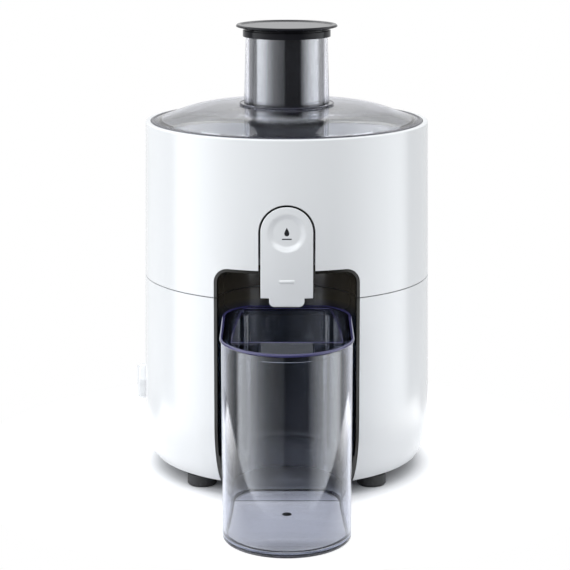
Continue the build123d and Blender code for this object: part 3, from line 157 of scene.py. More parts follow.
class JuicerCover(bpy.types.PropertyGroup):
    """Sizes of the spout's cover."""
    thickness: length_setting("Thickness", "Wall of the cover", 0.003)
    tip_length: length_setting("Tip", "Tip below the shoulders", 0.0064)
    tip_inset: length_setting("Tip inset", "Tip's side inside the cover's side", 0.0065)
    tip_corner: length_setting("Tip corner", "Round corner of the tip", 0.004)
    edge_round: length_setting("Edge", "Rounding of the front edge", 0.0007)
    edge_steps: count_setting("Edge steps", "Facets of the rounded edge", 4, 1)
    edge_gap: length_setting("Edge gap", "Cover's edge inside the slot's clearance", 0.0005)
    # Painted shade in the gap round the cover: its sides, back and lip, and a wall in the housing, are dark.
    lip: length_setting("Lip", "Dark lip behind the cover, past its edge", 0.0007)
    lip_depth: length_setting("Lip depth", "Thickness of the dark lip", 0.0006)
    shade_wall_gap: length_setting("Well", "Dark wall round the cover, from its edge", 0.00105)
    shade_wall_start: length_setting("Well start", "Where the dark wall begins, behind the face", 0.0003)
    lean: length_setting("Lean", "How much the housing narrows from the seam to the rim", 0.0019)
    dimple_radius: length_setting("Dimple", "Radius of the finger dimple", 0.0152)
    dimple_depth: length_setting("Dimple depth", "Depth of the finger dimple", 0.0021)
    dimple_edge: level_setting("Dimple edge", "Share of the dimple's radius that its slope takes", 0.36)
    ridge_half: length_setting("Ridge", "Half of the ridge's straight part", 0.0048)
    ridge_soft: length_setting("Ridge softness", "Half of the ridge's height", 0.0013)
    ridge_rise: length_setting("Ridge rise", "How far the ridge stands out", 0.0007)
    ridge_lift: length_setting("Ridge lift", "Ridge above the shoulders", 0.0130)
    grid: length_setting("Grid", "Spacing of the face's grid", 0.0006)
    back_grid: length_setting("Back grid", "Spacing of the back's grid", 0.002)
    drop_width: length_setting("Drop", "Width of the drop mark", 0.0041)
    drop_height: length_setting("Drop height", "Height of the drop mark", 0.0066)
    drop_lift: length_setting("Drop lift", "Drop's middle above the dimple's", 0.0008)
    drop_fullness: level_setting("Drop fullness", "Makes up for the width that the taper takes", 1.28)
    drop_taper: level_setting("Drop taper", "How sharply the drop narrows to its point", 0.75)
    bar_length: length_setting("Bar", "Length of the bar under the drop", 0.0073)
    bar_height: length_setting("Bar height", "Height of the bar", 0.0009)
    bar_drop: length_setting("Bar drop", "Bar below the dimple's middle", 0.0048)
    print_lift: length_setting("Print", "Thickness of the print", 0.00004)


class JuicerJug(bpy.types.PropertyGroup):
    """Sizes of the jug's details."""
    # Beads of painted edge shade.
    rim_bead: length_setting("Rim bead", "Radius of the rim's tinted edge", 0.0012)
    mouth_bead: length_setting("Mouth bead", "Radius of the mouth's tinted edge", 0.0005)
    foot_bead: length_setting("Foot bead", "Radius of the foot's tinted edge", 0.0014)
    bead_sink: level_setting("Bead sink", "Share of a bead's radius by which it sits below the plate", 0.6)
    floor_thickness: length_setting("Floor", "Thickness of the jug's floor", 0.003)
    gate_setback: length_setting("Gate setback", "Gate mark behind the jug's front", 0.090)
    gate_radius: length_setting("Gate", "Radius of the gate mark", 0.0038)
    gate_rise: length_setting("Gate rise", "How far the gate mark stands up", 0.0004)


class JuicerLid(bpy.types.PropertyGroup):
    """Sizes of the lid's details."""
    # Beads of painted edge shade.
    edge_bead: length_setting("Edge bead", "Radius of the lid's tinted edge", 0.0013)
    edge_drop: length_setting("Edge drop", "Lid's edge below the housing's rim", 0.0006)
    rib_bead: length_setting("Rib bead", "Radius of the tinted line at the rib", 0.0028)
    rib_inset: length_setting("Rib inset", "Rib inside the lid's edge", 0.0036)
    rib_drop: length_setting("Rib drop", "Rib's line below the housing's rim", 0.0022)
    root_bead: length_setting("Root bead", "Radius of the tinted edge at the chute's foot", 0.0006)
    root_reach: length_setting("Root reach", "Edge of the chute's foot past the chute's top", 0.0047)
    root_rise: length_setting("Root rise", "Chute's foot above the housing's rim", 0.0132)


class JuicerCoil(bpy.types.PropertyGroup):
    """Sizes of the interlock's spring."""
    wire_radius: length_setting("Wire", "Radius of the spring's wire", 0.00035)
    turns: count_setting("Turns", "Turns of the spring", 7, 2)
    steps: count_setting("Steps", "Steps in each turn", 24, 8)
    sides: count_setting("Sides", "Sides of the wire", 8, 4)


# Levels of the mirrored ceiling, by the sine of the height above the horizon.
ceiling_levels = ((0.0, 0.3), (0.42, 0.5), (0.48, 1.2), (0.60, 1.2), (0.66, 0.55), (0.80, 0.40), (1.0, 0.34))
# Levels of the mirrored soft boxes and of the even light, by degrees from the front, right positive.
box_levels = ((-180, 0.10), (-150, 0.14), (-126, 0.08), (-105, 0.08), (-97, 0.95), (-84, 1.0), (-68, 0.80),
              (-55, 0.45), (-39, 0.22), (-22, 0.13), (-7, 0.09), (-3, 0.015), (40, 0.015), (46, 0.16),
              (57, 0.40), (66, 0.62), (74, 0.80), (93, 1.0), (104, 1.0), (110, 0.90), (117, 0.18),
              (152, 0.16), (180, 0.10))
fill_levels = ((-180, 0.80), (-120, 1.22), (-50, 1.30), (-10, 0.95), (20, 0.60), (60, 0.66), (110, 1.00),
               (180, 0.85))
plain_white = (1.0, 1.0, 1.0)
cool_white = (0.965, 0.993, 1.02)
clear_white = (0.985, 0.988, 0.995)
plate_shade = (0.50, 0.50, 0.72)
# Dark of the sieve's holes: painted shade seen through them.
hole_painted_shade = (0.02, 0.02, 0.02)
slant_full = 0.97          # slant of a clear surface at which its edge shade is full
corner_steps = 8           # facets of the cover's outline: tip corner, shoulder, straight side, quarter arch
shoulder_steps = 5
side_steps = 36
arch_steps = 40
neck_share = 0.4           # where the tip's side gets its extra point, between corner and shoulder
drop_steps = 40
circle_steps = 128         # points of the lid's round edges
gate_steps = 32
floor_steps = 96
floor_grey = (0.82, 0.82, 0.83, 1.0)
flat_slope = 0.99          # least upward or downward share of the normal of a flat face
flat_gap = 5e-5            # farthest that a flat face's corner may lie from its height
grid_margin = 0.8          # grid's distance from the edge, in grid steps


# ---------------------------------------------------------------- node helpers
def add_node(tree, kind, **inputs):
    """A shader node of a kind, with the values of its inputs by name (spaces written as underscores)."""
    node = tree.nodes.new("ShaderNode" + kind)
    for name, value in inputs.items():
        node.inputs[name.replace("_", " ")].default_value = value
    return node


def feed(tree, socket, value):
    """Puts a number on a socket, or links an output to it."""
    if isinstance(value, (int, float)):
        socket.default_value = value
    else:
        tree.links.new(value, socket)


def join_values(tree, operation, *values):
    """Chains numbers or outputs through Math nodes."""
    result = values[0]
    for value in values[1:]:
        node = add_node(tree, "Math")
        node.operation = operation
        feed(tree, node.inputs[0], result)
        feed(tree, node.inputs[1], value)
        result = node.outputs[0]
    return result


def map_value(tree, value, start, end, low=0.0, high=1.0, smooth=False):
    """Maps start to end onto low to high, held at both ends."""
    node = add_node(tree, "MapRange")
    node.interpolation_type = "SMOOTHSTEP" if smooth else "LINEAR"
    for socket, number in zip(("Value", "From Min", "From Max", "To Min", "To Max"),
                              (value, start, end, low, high)):
        feed(tree, node.inputs[socket], number)
    return node.outputs["Result"]


def mix_values(tree, share, first, second):
    """First where the share is 0, second where it is 1."""
    node = add_node(tree, "Mix")
    feed(tree, node.inputs["Factor"], share)
    feed(tree, node.inputs["A"], first)
    feed(tree, node.inputs["B"], second)
    return node.outputs["Result"]


def mix_colours(tree, share, first, second):
    """The same for colours, each given as three numbers or as an output."""
    node = add_node(tree, "Mix")
    node.data_type = "RGBA"
    tree.links.new(share, node.inputs[0])
    for socket, colour in ((node.inputs[6], first), (node.inputs[7], second)):
        if isinstance(colour, bpy.types.NodeSocket):
            tree.links.new(colour, socket)
        else:
            socket.default_value = (*colour, 1.0)
    return node.outputs[2]


def add_group(tree, group):
    """A node that holds a node group."""
    node = add_node(tree, "Group")
    node.node_tree = group
    return node


def ramp_value(tree, value, stops):
    """A grey ramp through (place, level) stops."""
    node = add_node(tree, "ValToRGB")
    ramp = node.color_ramp
    for place, level in stops[1:-1]:
        ramp.elements.new(place)
    for element, (place, level) in zip(ramp.elements, stops):
        element.color = (level, level, level, 1.0)
    feed(tree, node.inputs[0], value)
    return node.outputs["Color"]


def new_group(name, inputs, outputs):
    """A node group with its entry and exit. Inputs are (name, kind, value), outputs (name, kind)."""
    group = bpy.data.node_groups.new(name, "ShaderNodeTree")
    for socket_name, kind, value in inputs:
        socket = group.interface.new_socket(socket_name, in_out="INPUT", socket_type="NodeSocket" + kind)
        socket.default_value = value
    for socket_name, kind in outputs:
        group.interface.new_socket(socket_name, in_out="OUTPUT", socket_type="NodeSocket" + kind)
    return group, group.nodes.new("NodeGroupInput"), group.nodes.new("NodeGroupOutput")


def studio_group(settings):
    """Light that comes from each direction: mirrored soft boxes, even fill, and where the backdrop lies."""
    group, entry, leave = new_group("studio_directions", [("Direction", "Vector", (0.0, 0.0, 0.0))],
                                    [("Mirrored", "Float"), ("Fill", "Float"), ("Behind", "Float")])
    unit = add_node(group, "VectorMath")
    unit.operation = "NORMALIZE"
    group.links.new(entry.outputs["Direction"], unit.inputs[0])
    split = add_node(group, "SeparateXYZ")
    group.links.new(unit.outputs[0], split.inputs[0])
    front = join_values(group, "MULTIPLY", split.outputs["Y"], -1.0)
    azimuth = join_values(group, "ARCTAN2", split.outputs["X"], front)
    turn = map_value(group, azimuth, -pi, pi)
    overhead = map_value(group, split.outputs["Z"], *settings.overhead_band)
    slant = map_value(group, split.outputs["X"], -1.0, 1.0, 1.0 + settings.slant, 1.0 - settings.slant)
    ceiling = join_values(group, "MULTIPLY", ramp_value(group, split.outputs["Z"], ceiling_levels), slant)
    boxes, soft = [ramp_value(group, turn, [(0.5 + degrees / 360.0, level) for degrees, level in levels])
                   for levels in (box_levels, fill_levels)]
    mirrored = mix_values(group, overhead, join_values(group, "MULTIPLY", boxes, settings.box_peak),
                          join_values(group, "MULTIPLY", ceiling, settings.overhead_level))
    group.links.new(mirrored, leave.inputs["Mirrored"])
    fill = mix_values(group, overhead, soft, join_values(group, "MULTIPLY", slant, settings.overhead_fill))
    group.links.new(join_values(group, "MULTIPLY", fill, settings.world_light), leave.inputs["Fill"])
    group.links.new(map_value(group, split.outputs["Y"], *settings.backdrop_band), leave.inputs["Behind"])
    return group


def grain_group():
    """Slow colour drift, roughness spread and fine surface relief of a moulded or cast surface."""
    group = bpy.data.node_groups.get("moulded_grain")
    if group:
        return group
    group, entry, leave = new_group(
        "moulded_grain",
        [("Base", "Color", (0.8, 0.8, 0.8, 1.0)), ("Drift", "Float", 0.02), ("Roughness", "Float", 0.3),
         ("Spread", "Float", 0.04), ("Grain Scale", "Float", 1200.0), ("Relief", "Float", 0.02)],
        [("Colour", "Color"), ("Roughness", "Float"), ("Normal", "Vector")])
    link = group.links.new
    place = add_node(group, "TexCoord")
    slow = add_node(group, "TexNoise", Scale=9.0, Detail=3.0)
    link(place.outputs["Object"], slow.inputs["Vector"])
    fine = add_node(group, "TexNoise", Detail=2.0)
    link(place.outputs["Object"], fine.inputs["Vector"])
    link(entry.outputs["Grain Scale"], fine.inputs["Scale"])
    centred = join_values(group, "SUBTRACT", slow.outputs["Fac"], 0.5)
    colour = add_node(group, "VectorMath")
    colour.operation = "SCALE"
    link(entry.outputs["Base"], colour.inputs[0])
    drift = join_values(group, "MULTIPLY", centred, entry.outputs["Drift"])
    link(join_values(group, "ADD", drift, 1.0), colour.inputs["Scale"])
    link(colour.outputs[0], leave.inputs["Colour"])
    spread = join_values(group, "MULTIPLY", centred, entry.outputs["Spread"])
    link(join_values(group, "ADD", spread, entry.outputs["Roughness"]), leave.inputs["Roughness"])
    bump = add_node(group, "Bump", Distance=0.0004)
    link(fine.outputs["Fac"], bump.inputs["Height"])
    link(entry.outputs["Relief"], bump.inputs["Strength"])
    link(bump.outputs["Normal"], leave.inputs["Normal"])
    return group


def grained_material(name, colour, roughness, drift=0.02, spread=0.04, grain=1200.0, relief=0.02, **shader):
    """A material on the moulded grain. The other values go to the shader's own sockets."""
    material = bpy.data.materials.new(name)
    material.use_nodes = True
    tree = material.node_tree
    body = tree.nodes["Principled BSDF"]
    for socket, value in shader.items():
        body.inputs[socket.replace("_", " ")].default_value = value
    grained = add_group(tree, grain_group())
    grained.name = "grain"
    for socket, value in (("Base", (*colour, 1.0)), ("Drift", drift), ("Roughness", roughness),
                          ("Spread", spread), ("Grain Scale", grain), ("Relief", relief)):
        grained.inputs[socket].default_value = value
    for source, target in (("Colour", "Base Color"), ("Roughness", "Roughness"), ("Normal", "Normal")):
        tree.links.new(grained.outputs[source], body.inputs[target])
    return material


def cylinder_group():
    """Where a point lies round the motor axis: share of a turn, height and radius."""
    group = bpy.data.node_groups.get("round_the_axis")
    if group:
        return group
    group, _, leave = new_group("round_the_axis", [],
                                [("Turn", "Float"), ("Height", "Float"), ("Radius", "Float")])
    split = add_node(group, "SeparateXYZ")
    group.links.new(add_node(group, "TexCoord").outputs["Object"], split.inputs[0])
    azimuth = join_values(group, "ARCTAN2", split.outputs["Y"], split.outputs["X"])
    group.links.new(map_value(group, azimuth, -pi, pi), leave.inputs["Turn"])
    group.links.new(split.outputs["Z"], leave.inputs["Height"])
    squares = [join_values(group, "MULTIPLY", split.outputs[axis], split.outputs[axis]) for axis in "XY"]
    radius = join_values(group, "SQRT", join_values(group, "ADD", *squares), 0.0)
    group.links.new(radius, leave.inputs["Radius"])
    return group


def lined_material(name, colour, roughness, lines, axis, depth, **shader):
    """A grained material with fine lines across an axis, such as sheets or wire."""
    material = grained_material(name, colour, roughness, **shader)
    tree = material.node_tree
    wave = add_node(tree, "TexWave", Scale=lines, Distortion=0.3, Detail=1.0)
    wave.bands_direction = axis
    tree.links.new(add_node(tree, "TexCoord").outputs["Object"], wave.inputs["Vector"])
    bump = add_node(tree, "Bump", Strength=depth, Distance=0.0003)
    tree.links.new(wave.outputs["Fac"], bump.inputs["Height"])
    tree.links.new(tree.nodes["grain"].outputs["Normal"], bump.inputs["Normal"])
    tree.links.new(bump.outputs["Normal"], tree.nodes["Principled BSDF"].inputs["Normal"])
    return material


def clear_material(name, tint, density, edge, bend=1.57, skin=0.0, slant=0.80):
    """Clear tinted plastic: the tint deepens with the plastic passed, and a painted shade in the edge colour
    darkens it where the surface is seen at a slant.
    """
    material = grained_material(name, clear_white, 0.01, drift=0.01, spread=0.01, grain=500.0, relief=0.0012,
                                Transmission_Weight=1.0, IOR=bend, Coat_Weight=skin, Coat_Roughness=0.03)
    tree = material.node_tree
    facing = add_node(tree, "LayerWeight").outputs["Facing"]
    # Painted shade where the surface is seen at a slant.
    shade = mix_colours(tree, map_value(tree, facing, slant, slant_full), clear_white, edge)
    tree.links.new(shade, tree.nodes["grain"].inputs["Base"])
    depth = add_node(tree, "VolumeAbsorption", Color=(*tint, 1.0), Density=density)
    tree.links.new(depth.outputs[0], tree.nodes["Material Output"].inputs["Volume"])
    return material


def finish_nodes(material, *names):
    """Gives CAD nodes a material."""
    for name in names:
        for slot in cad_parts[name].material_slots:
            slot.material = material


def add_object(name, data, body):
    """Puts a mesh or curve on the scene as a piece that rides on a body, where one is named."""
    piece = bpy.data.objects.new(name, data)
    bpy.context.scene.collection.objects.link(piece)
    if body:
        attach(piece, body)
    return piece


def new_piece(name, shape, body, *materials, crease=radians(32)):
    """Turns a finished bmesh into a piece."""
    bmesh.ops.recalc_face_normals(shape, faces=shape.faces)
    mesh = bpy.data.meshes.new(name)
    shape.to_mesh(mesh)
    shape.free()
    mesh.shade_smooth()
    mesh.set_sharp_from_angle(angle=crease)
    for material in materials:
        mesh.materials.append(material)
    return add_object(name, mesh, body)


def flat_loops(node, height, above):
    """Closed outlines of a node's flat faces at a height, the longest first; above: the faces look up."""
    shape = bmesh.new()
    shape.from_mesh(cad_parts[node].data)
    bmesh.ops.remove_doubles(shape, verts=shape.verts, dist=1e-6)
    level = {face for face in shape.faces
             if abs(face.normal.z) > flat_slope and (face.normal.z > 0) == above
             and all(abs(corner.co.z - height) < flat_gap for corner in face.verts)}
    ahead = {}
    for face in level:
        for loop in face.loops:
            if sum(other in level for other in loop.edge.link_faces) == 1:
                ahead[loop.vert.co.copy().freeze()] = loop.link_loop_next.vert.co.copy().freeze()
    shape.free()
    outlines = []
    while ahead:
        start, here = ahead.popitem()
        outline = [start]
        while here != start and here in ahead:
            outline.append(here)
            here = ahead.pop(here)
        outlines.append(outline)
    return sorted(outlines, key=lambda outline: -sum((a - b).length for a, b in zip(outline, outline[1:])))


def bead(name, outline, radius, body, material, shift=(0.0, 0.0, 0.0)):
    """A round bead along a closed outline."""
    curve = bpy.data.curves.new(name, "CURVE")
    curve.dimensions = "3D"
    curve.bevel_depth = radius
    curve.bevel_resolution = 3
    spline = curve.splines.new("POLY")
    spline.points.add(len(outline) - 1)
    for point, place in zip(spline.points, outline):
        point.co = (*(place + Vector(shift)), 1.0)
    spline.use_cyclic_u = True
    curve.materials.append(material)
    return add_object(name, curve, body)


def ring_faces(shape, low, high, material=0):
    """Quads between two closed rings of vertices, of equal length."""
    count = len(low)
    for i in range(count):
        face = shape.faces.new((low[i], low[(i + 1) % count], high[(i + 1) % count], high[i]))
        face.material_index = material


# ---------------------------------------------------------------- operators
class JUICER_OT_stage(bpy.types.Operator):
    """Sets the floor, the soft light, the white surroundings and the camera."""
    bl_idname = "juicer.stage"
    bl_label = "Stage"

    def execute(self, context):
        settings = context.scene.juicer_stage
        self.directions = studio_group(settings)
        self.mirror_share = settings.mirror_share
        floor_mesh = bpy.data.meshes.new("floor")
        shape = bmesh.new()
        bmesh.ops.create_circle(shape, cap_ends=True, segments=floor_steps, radius=settings.floor_radius)
        shape.to_mesh(floor_mesh)
        shape.free()
        floor_mesh.materials.append(self.floor_material(settings))
        floor = add_object("floor", floor_mesh, None)
        self.world(context.scene)
        camera_data = bpy.data.cameras.new("camera")
        camera_data.lens = settings.camera_lens
        camera_data.sensor_width = 36.0
        camera = add_object("camera", camera_data, None)
        camera.location = settings.camera_place
        camera.rotation_euler = (pi / 2 - settings.camera_tilt, 0.0, 0.0)
        context.scene.camera = camera
        context.scene.view_settings.view_transform = "Standard"
        return {"FINISHED"}

    def studio(self, tree, vector):
        """Mirrored light and fill from a direction, and shares of sharp rays and of plain white."""
        around = add_group(tree, self.directions)
        tree.links.new(vector, around.inputs["Direction"])
        path = add_node(tree, "LightPath")
        glossy = path.outputs["Is Glossy Ray"]
        passed = path.outputs["Is Transmission Ray"]
        direct = path.outputs["Is Camera Ray"]
        mirror = join_values(tree, "MULTIPLY", glossy, self.mirror_share)
        looking = join_values(tree, "MAXIMUM", mirror, passed)
        through = join_values(tree, "MULTIPLY", looking, around.outputs["Behind"])
        plain = join_values(tree, "MAXIMUM", direct, through)
        seen = join_values(tree, "MAXIMUM", glossy, passed, direct)
        mirrored = mix_values(tree, plain, around.outputs["Mirrored"], 1.0)
        return mirrored, around.outputs["Fill"], seen, plain

    def floor_material(self, settings):
        """Pale matt floor with a faint shadow, which fades into the white surroundings."""
        material = bpy.data.materials.new("pale_floor")
        material.use_nodes = True
        tree = material.node_tree
        body = tree.nodes["Principled BSDF"]
        body.inputs["Roughness"].default_value = 0.7
        body.inputs["Specular IOR Level"].default_value = 0.2
        body.inputs["Base Color"].default_value = floor_grey
        place = add_node(tree, "TexCoord").outputs["Object"]
        mirrored, _, seen, _ = self.studio(tree, place)
        link = tree.links.new
        reach = add_node(tree, "VectorMath")
        reach.operation = "LENGTH"
        link(place, reach.inputs[0])
        beside = map_value(tree, reach.outputs["Value"], settings.glow_start, settings.glow_full)
        glow = add_node(tree, "Emission")
        link(join_values(tree, "MULTIPLY", seen, beside, settings.floor_glow), glow.inputs["Strength"])
        both = add_node(tree, "AddShader")
        link(body.outputs[0], both.inputs[0])
        link(glow.outputs[0], both.inputs[1])
        surroundings = add_node(tree, "Emission")
        link(mirrored, surroundings.inputs["Strength"])
        edge = map_value(tree, reach.outputs["Value"], settings.fade_start, settings.fade_end)
        faded = add_node(tree, "MixShader")
        link(join_values(tree, "MULTIPLY", seen, edge), faded.inputs[0])
        link(both.outputs[0], faded.inputs[1])
        link(surroundings.outputs[0], faded.inputs[2])
        link(faded.outputs[0], tree.nodes["Material Output"].inputs["Surface"])
        return material

    def world(self, scene):
        """White surroundings: tall soft boxes left and right, a dim front, plain white when seen directly."""
        world = bpy.data.worlds.new("white_surroundings")
        world.use_nodes = True
        tree = world.node_tree
        tree.nodes.clear()
        place = add_node(tree, "TexCoord").outputs["Generated"]
        mirrored, fill, seen, plain = self.studio(tree, place)
        light = add_node(tree, "Background")
        tree.links.new(mix_colours(tree, plain, cool_white, plain_white), light.inputs["Color"])
        tree.links.new(mix_values(tree, seen, fill, mirrored), light.inputs["Strength"])
        leave = add_node(tree, "OutputWorld")
        tree.links.new(light.outputs[0], leave.inputs["Surface"])
        scene.world = world


class JUICER_OT_finishes(bpy.types.Operator):
    """Gives every carried-over CAD node its material."""
    bl_idname = "juicer.finishes"
    bl_label = "Finishes"

    def execute(self, context):
        colours = context.scene.juicer_finishes
        self.outer_finishes(colours)
        self.inner_finishes()
        self.clear_finishes(colours)
        finish_nodes(self.bay(colours), "bay_liner", "bay_hood")
        finish_nodes(self.sieve(colours), "sieve")
        finish_nodes(self.commutator(colours), "commutator")
        return {"FINISHED"}

    def plain_finishes(self, rows):
        """Makes materials that are one finish all over, from name, colour, roughness, dials and nodes."""
        for name, colour, roughness, dials, nodes in rows:
            finish_nodes(grained_material(name, colour, roughness, **dials), *nodes.split())

    def outer_finishes(self, colours):
        """The housing, the pusher, the feet, the bowl and the steel, with the print and the painted edge
        shades.
        """
        self.plain_finishes((
            ("white_gloss", colours.housing_colour, colours.housing_roughness,
             {"Coat_Weight": 0.3, "Coat_Roughness": 0.08}, "base_shell upper_shell spout_cover switch_knob"),
            ("pusher_plastic", colours.pusher_colour, 0.06, {"spread": 0.02, "relief": 0.004, "IOR": 1.22},
             "plunger_cap"),
            ("pusher_body", colours.pusher_colour, 0.03, {"spread": 0.01, "relief": 0.001, "IOR": 2.6},
             "plunger_body"),
            ("dark_rubber", colours.rubber_colour, 0.6, {"relief": 0.1},
             "foot_front_left foot_front_right foot_back_left foot_back_right cord_gland spout_stopper"
             " shaft_seal motor_dampers"),
            ("brushed_steel", colours.steel_colour, 0.28, {"Metallic": 1.0},
             "grater_disc motor_shaft brush_springs interlock_spring motor_bolts motor_mount_screws"
             " base_screws bearing_lower bearing_upper"),
            ("bowl_plastic", (0.84, 0.85, 0.87), 0.35, {},
             "bowl_side bowl_floor juice_spout pulp_outer_side pulp_inner_side pulp_floor bowl_carrier"
             " filter_hub filter_rim"),
            ("print_black", (0.012, 0.012, 0.014), 0.35, {}, ""),
            # Painted edge shade for the beads along the clear parts' edges.
            ("indigo_painted_edge_shade", colours.indigo_painted_edge_shade, 0.12, {"Transmission_Weight": 0.35, "IOR": 1.5}, ""),
            ("dark_painted_edge_shade", colours.dark_painted_edge_shade, 0.12, {"Transmission_Weight": 0.2, "IOR": 1.5}, ""),
        ))

    def inner_finishes(self):
        """The motor, the switches and the other pieces behind the housing."""
        core = lined_material("laminated_steel", (0.34, 0.34, 0.35), 0.38, 628.0, "Z", 0.5, Metallic=1.0)
        finish_nodes(core, "stator_core", "armature_core")
        copper = lined_material("copper_wire", (0.72, 0.27, 0.12), 0.3, 400.0, "Z", 0.9, Metallic=1.0)
        finish_nodes(copper, "armature_windings", "field_coils")
        self.plain_finishes((
            ("carbon", (0.035, 0.034, 0.036), 0.55, {"grain": 3000.0, "relief": 0.2}, "brushes"),
            ("cast_alloy", (0.52, 0.52, 0.53), 0.42, {"relief": 0.15, "Metallic": 1.0},
             "motor_upper_bracket motor_lower_bracket"),
            ("dark_nylon", (0.030, 0.030, 0.032), 0.42, {"relief": 0.06},
             "cooling_fan brush_holders drive_coupling switch_body interlock_switch cord_clamp"),
            ("pale_nylon", (0.62, 0.61, 0.57), 0.45, {"relief": 0.05},
             "terminal_block interlock_rod lid_gasket"),
            ("film_capacitor", (0.50, 0.36, 0.06), 0.35, {"relief": 0.03}, "suppressor"),
            ("grey_plastic", (0.30, 0.30, 0.31), 0.5, {"relief": 0.08}, "base_deck base_plate"),
        ))

    def clear_finishes(self, colours):
        """The smoky lid, the bluish jug and its plate."""
        smoke = clear_material("clear_smoke", colours.smoke_tint, colours.lid_density, colours.lid_edge_shade,
                               bend=1.12, skin=0.55)
        finish_nodes(smoke, "lid")
        clear = clear_material("clear_jug", colours.jug_tint, colours.jug_density, colours.edge_shade,
                               slant=0.45)
        finish_nodes(clear, "jug")
        plate = clear_material("clear_plate", colours.jug_tint, colours.plate_density, plate_shade, bend=1.08)
        finish_nodes(plate, "jug_lid")

    def bay(self, colours):
        """Glossy dark lining. Below the jug's plate it takes a darker, bluer painted shade behind the jug;
        near the housing's face a painted shade darkens it and its coat is left off.
        """
        material = grained_material("bay_plastic", colours.bay_colour, 0.24, Coat_Roughness=0.12)
        tree = material.node_tree
        reach = add_group(tree, cylinder_group())
        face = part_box("upper_shell")[1].x
        inside = map_value(tree, reach.outputs["Radius"], *(face - depth for depth in colours.bay_edge))
        gloss = join_values(tree, "MULTIPLY", inside, colours.bay_coat)
        tree.links.new(gloss, tree.nodes["Principled BSDF"].inputs["Coat Weight"])
        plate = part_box("jug_lid")[1].z
        # Painted shade: below the jug's plate the lining turns darker and bluer.
        low = map_value(tree, reach.outputs["Height"], plate, plate - colours.bay_painted_shade_fade)
        lining = mix_colours(tree, low, colours.bay_colour, colours.bay_painted_shade_colour)
        # Painted shade at the housing's face: a share of the lining's colour.
        edge = [part * colours.bay_edge_painted_shade for part in colours.bay_colour]
        tree.links.new(mix_colours(tree, inside, edge, lining), tree.nodes["grain"].inputs["Base"])
        return material

    def sieve(self, colours):
        """Steel sheet with rows of small holes, painted dark as the shade seen through them, every other row
        set between the holes of the last.
        """
        material = grained_material("sieve_steel", colours.steel_colour, 0.3, Metallic=1.0)
        tree = material.node_tree
        place = add_group(tree, cylinder_group())
        row = join_values(tree, "DIVIDE", place.outputs["Height"], colours.hole_pitch)
        odd = join_values(tree, "MODULO", join_values(tree, "FLOOR", row, 0.0), 2.0)
        turned = join_values(tree, "MULTIPLY", place.outputs["Turn"], float(colours.hole_count))
        column = join_values(tree, "ADD", turned, join_values(tree, "MULTIPLY", odd, 0.5))
        squares = []
        for value in (row, column):
            aside = join_values(tree, "SUBTRACT", join_values(tree, "FRACT", value, 0.0), 0.5)
            squares.append(join_values(tree, "MULTIPLY", aside, aside))
        reach = join_values(tree, "SQRT", join_values(tree, "ADD", *squares), 0.0)
        sheet = map_value(tree, reach, *colours.hole_edge)
        holes = mix_colours(tree, sheet, hole_painted_shade, colours.steel_colour)
        tree.links.new(holes, tree.nodes["grain"].inputs["Base"])
        return material

    def commutator(self, colours):
        """Copper bars round the shaft, with a slot after each."""
        material = grained_material("commutator_bars", (0.80, 0.42, 0.22), 0.25, Metallic=1.0)
        tree = material.node_tree
        place = add_group(tree, cylinder_group())
        turned = join_values(tree, "MULTIPLY", place.outputs["Turn"], float(colours.commutator_bars))
        slots = join_values(tree, "FRACT", turned, 0.0)
        bump = add_node(tree, "Bump", Strength=0.8, Distance=0.0004)
        tree.links.new(map_value(tree, slots, 0.0, colours.bar_gap), bump.inputs["Height"])
        tree.links.new(bump.outputs["Normal"], tree.nodes["Principled BSDF"].inputs["Normal"])
        return material


